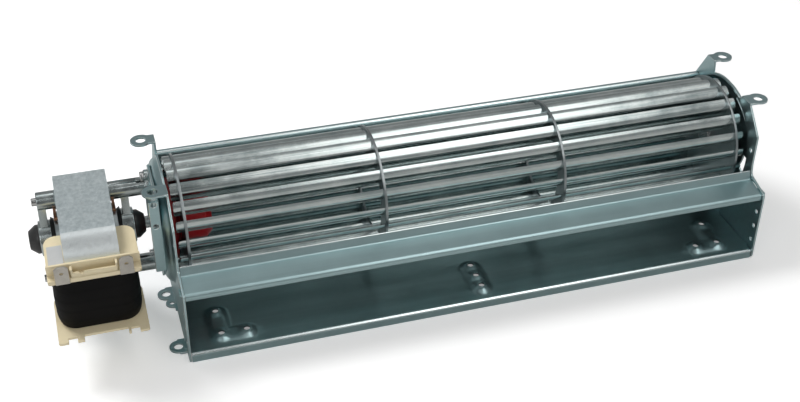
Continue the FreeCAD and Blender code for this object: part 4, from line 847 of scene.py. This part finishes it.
def scroll_shape(settings):
    """The casing's sheet: both faces of a bent strip, pressed up at the pads."""
    path = casing_path(settings)
    normals = side_normals(path)
    lines, holes = pad_lines(settings)
    columns = grid_lines(settings)
    half = settings.sheet / 2
    level = -SHAFT.z + settings.floor_rise - half
    shape = bmesh.new()
    faces = []
    for side in (1, -1):
        rows = []
        for x in columns:
            row = []
            for point, normal in zip(path, normals):
                spot = point + normal * (side * half)
                rise = 0.0
                if abs(point.y - level) < 1e-6 and point.x < -settings.pad_back + 2 * settings.pad_radius:
                    rise = pad_height(Vector((x, point.x)), lines, holes, settings)
                row.append(shape.verts.new((x, spot.x + SHAFT.y, spot.y + rise + SHAFT.z)))
            rows.append(row)
        faces.append(rows)
    for rows in faces:
        for first, second in zip(rows, rows[1:]):
            bridge(shape, first, second, closed=False)
    upper, lower = faces
    for end in (0, -1):
        bridge(shape, upper[end], lower[end], closed=False)
        for first, second in zip(zip(upper, lower), zip(upper[1:], lower[1:])):
            shape.faces.new((first[0][end], first[1][end], second[1][end], second[0][end]))
    bmesh.ops.recalc_face_normals(shape, faces=shape.faces)
    return shape, holes


def joining_tabs(settings):
    """Where the casing's ends pass through the plates: (y, z, turn)."""
    level = -SHAFT.z + settings.floor_rise - settings.sheet / 2
    growth = spiral(settings)
    places = [(-settings.front + settings.floor_tab_front, level, 0.0),
              (-settings.floor_tab_back, level, 0.0)]
    for turned_by in (settings.upper_tab, settings.lower_tab):
        turn = settings.start_angle - turned_by
        radius = settings.start_radius * math.exp(growth * turned_by) + settings.sheet / 2
        lean = turn + math.atan(growth) - math.pi / 2
        places.append((radius * math.cos(turn), radius * math.sin(turn), lean))
    return places


def add_tabs(shape, reach, y, z, turn, settings):
    """A sheet's pair of joining tabs through the side plates, at a place about the shaft."""
    size = (reach - HALF_WIDTH + 2 * settings.tab_root, settings.tab, settings.sheet * 0.98)
    for side in (-1, 1):
        centre = Vector((side * (HALF_WIDTH + reach) / 2, y + SHAFT.y, z + SHAFT.z))
        add_box(shape, size, Matrix.Translation(centre) @ Matrix.Rotation(turn, 4, "X"))


def bridge(shape, first, second, closed=True):
    """Faces between two rows of vertices."""
    corners = list(zip(first, first[1:], second[1:], second))
    if closed:
        corners.append((first[-1], first[0], second[0], second[-1]))
    for four in corners:
        shape.faces.new(four)


def close_end(shape, loop, count):
    """Close an outline that runs along one face and back along the other."""
    bridge(shape, loop[:count], loop[2 * count - 1:count - 1:-1], closed=False)


def add_box(shape, size, matrix):
    """A block of the given size about the matrix's place."""
    made = bmesh.ops.create_cube(shape, size=1.0)
    bmesh.ops.scale(shape, vec=size, verts=made["verts"])
    bmesh.ops.transform(shape, matrix=matrix, verts=made["verts"])


def add_rod(shape, radius, depth, matrix, segments=40):
    """A round bar along the matrix's Z."""
    made = bmesh.ops.create_cone(shape, cap_ends=True, segments=segments, radius1=radius, radius2=radius,
                                 depth=depth)
    bmesh.ops.transform(shape, matrix=matrix, verts=made["verts"])


def build_casing_sheet(settings):
    shape, holes = scroll_shape(settings)
    drills = bmesh.new()
    for hole in holes:
        centre = (hole.x, hole.y + SHAFT.y, settings.floor_rise)
        add_rod(drills, settings.hole, 8 * MM, Matrix.Translation(centre))
    cutter = linked("pad_drills", to_mesh(drills, "pad_drills"))

    def setup(source):
        modifier = source.modifiers.new("Holes", "BOOLEAN")
        modifier.operation = "DIFFERENCE"
        modifier.object = cutter
        modifier.solver = "EXACT"

    drilled = evaluated(to_mesh(shape, "casing_sheet"), "casing_sheet", setup)
    bpy.data.objects.remove(cutter)
    shape = bmesh.new()
    shape.from_mesh(drilled)
    shape.normal_update()
    mark = shape.faces.layers.float.new("edge")
    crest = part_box("scroll_casing")[1].z - 2 * settings.curl
    # Faces near the curl's top and at the lip's bend that face up and forward get 0.8 of the edge colour:
    # painted highlight lines.
    for face in shape.faces:
        middle = face.calc_center_median()
        crest_facing_light = middle.z > crest and 0.72 < face.normal.z < 0.97 and face.normal.y < 0
        on_lip = middle.z < settings.floor_rise and middle.y - SHAFT.y < -settings.front + settings.lip_bend
        face[mark] = 0.8 * float(crest_facing_light or (on_lip and 0.3 < face.normal.z < 0.9))
    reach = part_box("scroll_casing")[1].x
    for place in joining_tabs(settings):
        add_tabs(shape, reach, *place, settings)
    stand_in(to_mesh(shape, "casing_sheet"), "casing_sheet", ["scroll_casing"])


def build_side_plate(node, settings):
    """A side plate with rounded folds at its ears and rounded cut edges."""
    shape = welded(node)
    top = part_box(node)[1].z

    def is_fold(edge):
        first, second = (vertex.co for vertex in edge.verts)
        on_plate = all(abs(abs(co.x) - HALF_WIDTH) < 0.02 * MM for co in (first, second))
        level = abs(first.z - second.z) < 0.01 * MM and first.z > SHAFT.z + 28 * MM
        return on_plate and level and abs(first.y - second.y) > 3 * MM and first.z <= top + 1e-6

    def is_dish(edge):
        spokes = [vertex.co - SHAFT for vertex in edge.verts]
        return all(abs(spoke.x) > HALF_WIDTH + 1.2 * MM
                   and math.hypot(spoke.y, spoke.z) < settings.dish_reach for spoke in spokes)

    shape = round_edges(shape, settings.fold, 4, chosen=is_fold)
    shape = round_edges(shape, settings.dish, 4, math.radians(24), is_dish)
    mark = shape.faces.layers.float.get("edge")
    for face in shape.faces:
        face[mark] = 0.0
    shape = round_edges(shape, settings.edge, 2)
    stand_in(to_mesh(shape, node + "_dressed"), node + "_dressed", [node])


# Roller

def blade_section(settings, narrowed=1.0):
    """One blade's outline in the YZ plane about the shaft: outer curve, then inner curve back."""
    root = Vector((settings.root, 0))
    tip = Vector((settings.tip * math.cos(settings.lean), -settings.tip * math.sin(settings.lean)))
    chord = tip - root
    side = Vector((-chord.y, chord.x)).normalized()
    sag = math.sqrt(settings.camber ** 2 - (chord.length / 2) ** 2)
    centre = (root + tip) * 0.5 - side * sag
    half_angle = math.asin(chord.length / 2 / settings.camber) * narrowed
    middle = math.atan2(side.y, side.x)
    count = 14
    half = settings.strip / 2
    turns = [middle + (2 * step / count - 1) * half_angle for step in range(count + 1)]
    outer, inner = ([centre + Vector((math.cos(turn), math.sin(turn))) * radius for turn in turns]
                    for radius in (settings.camber + half, settings.camber - half))
    return outer + inner[::-1]


def blade_shape(settings, length):
    """One blade along X with its ends rounded off."""
    rings = []
    steps = 6
    for step in range(steps + 1):
        turn = step / steps * math.pi / 2
        narrowed = 0.55 + 0.45 * math.sin(math.acos(1 - math.sin(turn)))
        rings.append((-length / 2 + settings.end_round * (1 - math.cos(turn)), narrowed))
    rings = rings + [(-x, narrowed) for x, narrowed in reversed(rings)]
    shape = bmesh.new()
    loops = []
    for x, narrowed in rings:
        section = blade_section(settings, narrowed)
        loops.append([shape.verts.new((x, point.x, point.y)) for point in section])
    for first, second in zip(loops, loops[1:]):
        bridge(shape, first, second)
    for loop in (loops[0], loops[-1]):
        close_end(shape, loop, len(loop) // 2)
    bmesh.ops.recalc_face_normals(shape, faces=shape.faces)
    return shape


def build_blades(settings):
    low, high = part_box("impeller_blades")
    single = to_mesh(blade_shape(settings, high.x - low.x), "blade")
    tree = repeat_tree("Round The Shaft", turning=True)
    mesh = repeated(single, "blade_ring", tree, {
        "Count": settings.blades, "Start": SHAFT, "Step": 2 * math.pi / settings.blades,
        "Uneven": settings.wobble, "Seed": settings.seed, "Material": MATERIALS["blade"]})
    stand_in(mesh, "blade_ring", ["impeller_blades"])


def build_discs(settings):
    dress_all(settings.edge, 2, "left_end_disc", "left_middle_ring", "right_middle_ring", "right_end_disc")


# Motor

def lamination_shape(settings, thickness):
    """One sheet of the stator, cut from the end face of its pack."""
    shape = bmesh.new()
    shape.from_mesh(frame["nodes"]["stator_core"].data)
    bmesh.ops.remove_doubles(shape, verts=shape.verts, dist=WELD)
    away = [face for face in shape.faces if face.normal.x > -0.9]
    bmesh.ops.delete(shape, geom=away, context="FACES")
    for vertex in shape.verts:
        vertex.co.x = 0.0
    bottom = list(shape.faces)
    made = bmesh.ops.extrude_face_region(shape, geom=bottom, use_keep_orig=True)
    upper = [item for item in made["geom"] if isinstance(item, bmesh.types.BMVert)]
    bmesh.ops.translate(shape, vec=(thickness, 0, 0), verts=upper)
    bmesh.ops.recalc_face_normals(shape, faces=shape.faces)
    shape.normal_update()
    mark = shape.faces.layers.float.new("edge")
    # Faces that face forward and up once the motor is tilted are marked for the bend's painted highlight
    # colour.
    level = Matrix.Rotation(-settings.tilt, 3, "X")
    for face in shape.faces:
        normal = level @ face.normal
        face[mark] = float(normal.y < -0.1 and normal.z > 0.05)
    return shape


def build_stator(settings):
    low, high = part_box("stator_core")
    pitch = (high.x - low.x + settings.lamination_gap) / settings.laminations
    sheet = to_mesh(lamination_shape(settings, pitch - settings.lamination_gap), "lamination")
    tree = repeat_tree("Along The Shaft", turning=False)
    mesh = repeated(sheet, "stator_laminations", tree, {
        "Count": settings.laminations, "Start": Vector((low.x, 0, 0)), "Step": pitch,
        "Uneven": settings.shift, "Seed": settings.seed, "Material": MATERIALS["laminations"]})
    stand_in(mesh, "stator_laminations", ["stator_core"])


def motor_matrix(settings):
    """From the motor's level drawing to its tilted place on the shaft."""
    return Matrix.Translation(SHAFT) @ Matrix.Rotation(settings.tilt, 4, "X")


def rounded_rectangle(half_x, low_y, high_y, middle_x, corner, steps=8):
    """Points round a rectangle with round corners."""
    points = []
    for sx, y, start in ((1, high_y, 0), (-1, high_y, 90), (-1, low_y, 180), (1, low_y, 270)):
        centre_y = y - corner if y == high_y else y + corner
        centre = Vector((middle_x + sx * (half_x - corner), centre_y))
        for step in range(steps + 1):
            turn = math.radians(start + 90 * step / steps)
            points.append(centre + Vector((math.cos(turn), math.sin(turn))) * corner)
    return points


def build_winding(settings):
    """The taped winding: a barrel shape with the tape's overlaps winding down it."""
    matrix = motor_matrix(settings)
    flat = matrix.inverted()
    corners = [flat @ vertex.co for vertex in frame["nodes"]["coil_winding"].data.vertices]
    lows = Vector(min(corner[axis] for corner in corners) for axis in range(3))
    highs = Vector(max(corner[axis] for corner in corners) for axis in range(3))
    middle = (lows + highs) / 2
    half_height = (highs.z - lows.z) / 2
    shape = bmesh.new()
    loops = []
    levels = 40
    for level in range(levels + 1):
        share = 2 * level / levels - 1
        drawn = settings.barrel * (max(share, 0.0) ** 1.6 + 0.4 * max(-share, 0.0) ** 6)
        lap = settings.tape_step * (1 - (level / levels * settings.tape_turns) % 1)
        inset = drawn + lap
        half_x = (highs.x - lows.x) / 2 - inset
        outline = rounded_rectangle(half_x, lows.y + inset, highs.y - inset, middle.x,
                                    settings.coil_corner - min(inset, 2 * MM))
        z = middle.z + share * half_height
        loops.append([shape.verts.new(matrix @ Vector((point.x, point.y, z))) for point in outline])
    for first, second in zip(loops, loops[1:]):
        bridge(shape, first, second)
    for loop in (loops[0], loops[-1]):
        shape.faces.new(loop)
    bmesh.ops.recalc_face_normals(shape, faces=shape.faces)
    stand_in(to_mesh(shape, "winding_tape"), "winding_tape", ["coil_winding"])


def build_label(settings):
    """The foil on the bobbin's left wing, left blank."""
    matrix = motor_matrix(settings)
    core_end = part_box("stator_core")[0].x
    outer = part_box("coil_bobbin")[0].x
    left = outer + settings.label_inset
    width = core_end - settings.label_room - left
    centre = Vector((left + width / 2, -settings.label_place, settings.label_level))
    shape = bmesh.new()
    add_box(shape, (width, settings.label_height, settings.label_foil), matrix @ Matrix.Translation(centre))
    obj = linked("blank_label", to_mesh(shape, "blank_label"))
    obj.data.materials.append(MATERIALS["label"])
    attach(obj, "casing")


def dress_all(width, segments, *nodes):
    for node in nodes:
        dress(node, width, segments)


def build_castings(settings):
    dress_all(settings.casting_edge, 3, "outer_bearing_bracket", "inner_bearing_bracket")


def build_mouldings(settings):
    dress("coil_bobbin", settings.moulded_edge, 2, joined=False)
    dress_all(settings.cap_edge, 2, "outer_bearing_cap", "inner_bearing_cap")
    dress_all(settings.coupling_edge, 3, "flexible_coupling")
    dress_all(settings.rubber_edge, 3, "tail_bearing_rubber")


def build_small_metal(settings):
    dress_all(settings.strip_edge, 2, "left_terminal", "right_terminal", "shading_rings")
    dress_all(settings.screw_edge, 3, "bracket_screws", "motor_foot_screws", "tail_shaft")


# Operators

def finished(build, *arguments):
    build(*arguments)
    return {"FINISHED"}


class FAN_OT_finishes(bpy.types.Operator):
    """Builds the materials and gives each CAD node its finish"""
    bl_idname = "fan.finishes"
    bl_label = "Finishes"

    def execute(self, context):
        build_materials()
        for name in frame["nodes"]:
            finish_node(name)
        return {"FINISHED"}


class FAN_OT_casing_sheet(bpy.types.Operator):
    """Builds the scroll's sheet with its pressed pads"""
    bl_idname = "fan.casing_sheet"
    bl_label = "Casing Sheet"

    def execute(self, context):
        return finished(build_casing_sheet, context.scene.fan_sheet)


class FAN_OT_deflector(bpy.types.Operator):
    """Builds the deflector and rounds the motor mount's edges"""
    bl_idname = "fan.deflector"
    bl_label = "Deflector And Mount"

    def execute(self, context):
        settings = context.scene.fan_sheet
        build_deflector(settings)
        dress("motor_mount_bracket", 2 * settings.edge, 3)
        return {"FINISHED"}


class FAN_OT_side_plates(bpy.types.Operator):
    """Builds both side plates"""
    bl_idname = "fan.side_plates"
    bl_label = "Side Plates"

    def execute(self, context):
        for node in ("left_side_plate", "right_side_plate"):
            build_side_plate(node, context.scene.fan_sheet)
        return {"FINISHED"}


class FAN_OT_blades(bpy.types.Operator):
    """Builds the ring of blades"""
    bl_idname = "fan.blades"
    bl_label = "Blades"

    def execute(self, context):
        return finished(build_blades, context.scene.fan_roller)


class FAN_OT_discs(bpy.types.Operator):
    """Rounds the edges of the roller's discs and rings"""
    bl_idname = "fan.discs"
    bl_label = "Discs"

    def execute(self, context):
        return finished(build_discs, context.scene.fan_roller)


class FAN_OT_stator(bpy.types.Operator):
    """Builds the stator's laminations"""
    bl_idname = "fan.stator"
    bl_label = "Stator"

    def execute(self, context):
        return finished(build_stator, context.scene.fan_motor)


class FAN_OT_coil(bpy.types.Operator):
    """Builds the taped winding and the blank label on its bobbin"""
    bl_idname = "fan.coil"
    bl_label = "Coil"

    def execute(self, context):
        build_winding(context.scene.fan_motor)
        build_label(context.scene.fan_motor)
        return {"FINISHED"}


class FAN_OT_castings(bpy.types.Operator):
    """Rounds the edges of the bearing brackets"""
    bl_idname = "fan.castings"
    bl_label = "Castings"

    def execute(self, context):
        return finished(build_castings, context.scene.fan_motor)


class FAN_OT_mouldings(bpy.types.Operator):
    """Rounds the edges of the bobbin, the caps and the rubber pieces"""
    bl_idname = "fan.mouldings"
    bl_label = "Mouldings"

    def execute(self, context):
        return finished(build_mouldings, context.scene.fan_motor)


class FAN_OT_small_metal(bpy.types.Operator):
    """Rounds the edges of the terminals, rings and screws"""
    bl_idname = "fan.small_metal"
    bl_label = "Small Metal"

    def execute(self, context):
        return finished(build_small_metal, context.scene.fan_motor)


class FAN_OT_stage(bpy.types.Operator):
    """Builds the floor, the studio light and the camera"""
    bl_idname = "fan.stage"
    bl_label = "Stage"

    def execute(self, context):
        settings = context.scene.fan_stage
        scene = context.scene
        scene.view_settings.view_transform = "Standard"
        make_floor(settings)
        make_world(scene)
        make_lamps()
        make_camera(scene, settings)
        return {"FINISHED"}


# Stage

def make_floor(settings):
    mesh = bpy.data.meshes.new("studio_floor")
    half = settings.floor_half
    corners = [(-half, -half, 0), (half, -half, 0), (half, half, 0), (-half, half, 0)]
    mesh.from_pydata(corners, [], [(0, 1, 2, 3)])
    floor = linked("studio_floor", mesh)
    material = bpy.data.materials.new("Studio Floor")
    material.use_nodes = True
    tree = material.node_tree
    shader = tree.nodes["Principled BSDF"]
    shader.inputs["Roughness"].default_value = 0.9
    shader.inputs["Emission Color"].default_value = (1, 1, 1, 1)
    path = tree.nodes.new("ShaderNodeLightPath")
    colour = colour_between(tree, path.outputs["Is Glossy Ray"], tuple(settings.floor_colour),
                            tuple(settings.floor_in_gloss))
    glow = math_node(tree, "MULTIPLY", path.outputs["Is Camera Ray"], settings.floor_glow)
    feed(tree, shader, Base_Color=colour, Emission_Strength=glow)
    mesh.materials.append(material)


# The dome's grey, from straight below (0) to straight above (1), its two ends first
DOME = ((0.0, 0.2), (1.0, 0.36), (0.5, 0.36), (0.65, 0.26), (0.8, 0.22), (0.9, 0.3))
# Bands of directions along an axis: middle, half width at full strength, half width where it ends
STRIP_X = (0.3, 0.05, 0.16)
MOTOR_X = (0.0, 0.04, 0.1)
GLINT_Y = (0.25, 0.06, 0.2)
# Fades of directions along an axis: where it starts, where it ends
STRIP_Y = (-0.05, 0.2)
SHADE_Y = (-0.3, -0.1)
HIGH_Z = (0.35, 0.6)
STRIP_COLOUR = (2.4, 2.36, 2.32)
SHADE_COLOUR = (0.03, 0.033, 0.033)
GLINT_COLOUR = (2.0, 2.0, 2.0)
WHITE = (1.0, 1.0, 1.0)


def band(tree, value, middle, inner, outer):
    """A mask that is 1 near the middle and fades to 0 on both sides."""
    away = math_node(tree, "ABSOLUTE", math_node(tree, "SUBTRACT", value, middle), 0.0)
    return spread(tree, away, 1.0, 0.0, inner, outer, "SMOOTHSTEP")


def make_world(scene):
    """A white backdrop for the camera, and for all else a grey dome with lights that the metal mirrors."""
    world = bpy.data.worlds.new("Studio World")
    scene.world = world
    world.use_nodes = True
    tree = world.node_tree
    background = tree.nodes["Background"]
    place = tree.nodes.new("ShaderNodeTexCoord")
    parts = tree_node(tree, "ShaderNodeSeparateXYZ", {0: place.outputs["Generated"]})
    across, depth, height = parts.outputs
    ramp = tree.nodes.new("ShaderNodeValToRGB")
    tree.links.new(spread(tree, height, 0.0, 1.0, -1.0, 1.0), ramp.inputs[0])
    stops = ramp.color_ramp.elements
    ends = [stops[0], stops[1]]
    for position, level in DOME:
        stop = ends.pop(0) if ends else stops.new(position)
        stop.color = (level, level, level, 1)
    above = spread(tree, height, 0.0, 1.0, *HIGH_Z, "SMOOTHSTEP")
    before = spread(tree, depth, 1.0, 0.0, *STRIP_Y, "SMOOTHSTEP")
    ahead = spread(tree, depth, 1.0, 0.0, *SHADE_Y, "SMOOTHSTEP")
    motor = band(tree, across, *MOTOR_X)
    colour = ramp.outputs[0]
    for masks, patch in (((band(tree, across, *STRIP_X), before, above), STRIP_COLOUR),
                         ((motor, ahead), SHADE_COLOUR),
                         ((motor, band(tree, depth, *GLINT_Y), above), GLINT_COLOUR)):
        mask = masks[0]
        for other in masks[1:]:
            mask = math_node(tree, "MULTIPLY", mask, other)
        colour = colour_between(tree, mask, colour, patch)
    path = tree.nodes.new("ShaderNodeLightPath")
    seen = colour_between(tree, path.outputs["Is Camera Ray"], colour, WHITE)
    tree.links.new(seen, background.inputs["Color"])
    background.inputs["Strength"].default_value = 1.0


# Soft boxes: name, size, power in watts, place, and whether metal mirrors them
LAMPS = (
    ("key_box", 0.55, 14.0, (-0.75, 0.6, 1.25), False),
    ("front_box", 0.7, 2.4, (-0.7, -0.9, 0.9), True),
)
LAMP_AIM = (0, 0, 0.05)


def make_lamps():
    """The key light at the back left and a weaker one at the front left."""
    for name, size, power, place, in_gloss in LAMPS:
        lamp = bpy.data.lights.new(name, "AREA")
        lamp.size = size
        lamp.energy = power
        obj = linked(name, lamp)
        obj.location = place
        obj.visible_glossy = in_gloss
        obj.rotation_mode = "QUATERNION"
        obj.rotation_quaternion = (Vector(LAMP_AIM) - Vector(place)).to_track_quat("-Z", "Y")


def make_camera(scene, settings):
    camera = bpy.data.cameras.new("camera")
    camera.lens = settings.lens
    camera.sensor_width = 36.0
    camera.clip_start = 0.01
    obj = linked("camera", camera)
    azimuth, elevation = settings.camera_azimuth, settings.camera_elevation
    back = Vector((math.sin(azimuth) * math.cos(elevation), -math.cos(azimuth) * math.cos(elevation),
                   math.sin(elevation)))
    obj.location = settings.camera_place
    obj.rotation_mode = "QUATERNION"
    level_right = Vector((math.cos(azimuth), math.sin(azimuth), 0))
    level_up = back.cross(level_right)
    roll = settings.camera_roll
    right = level_right * math.cos(roll) + level_up * math.sin(roll)
    obj.rotation_quaternion = Matrix((right, back.cross(right), back)).transposed().to_quaternion()
    scene.camera = obj


class FAN_PT_panel(bpy.types.Panel):
    """Lists the fan's pieces"""
    bl_idname = "FAN_PT_panel"
    bl_label = "Cross Flow Fan"
    bl_space_type = "VIEW_3D"
    bl_region_type = "UI"
    bl_category = "Fan"

    def draw(self, context):
        column = self.layout.column()
        for step in STEPS:
            column.operator(step.bl_idname)


SETTINGS = {"fan_sheet": FanSheetSettings, "fan_roller": FanRollerSettings, "fan_motor": FanMotorSettings,
            "fan_stage": FanStageSettings}
STEPS = [FAN_OT_finishes, FAN_OT_casing_sheet, FAN_OT_deflector, FAN_OT_side_plates, FAN_OT_blades,
         FAN_OT_discs, FAN_OT_stator, FAN_OT_coil, FAN_OT_castings, FAN_OT_mouldings, FAN_OT_small_metal,
         FAN_OT_stage]
CLASSES = [*SETTINGS.values(), *STEPS, FAN_PT_panel]


def register():
    for cls in CLASSES:
        bpy.utils.register_class(cls)
    for name, cls in SETTINGS.items():
        setattr(bpy.types.Scene, name, bpy.props.PointerProperty(type=cls))


def unregister():
    for name in SETTINGS:
        delattr(bpy.types.Scene, name)
    for cls in reversed(CLASSES):
        bpy.utils.unregister_class(cls)


def main():
    register()
    for step in STEPS:
        area, name = step.bl_idname.split(".")
        getattr(getattr(bpy.ops, area), name)()


if __name__ == "__main__":
    main()
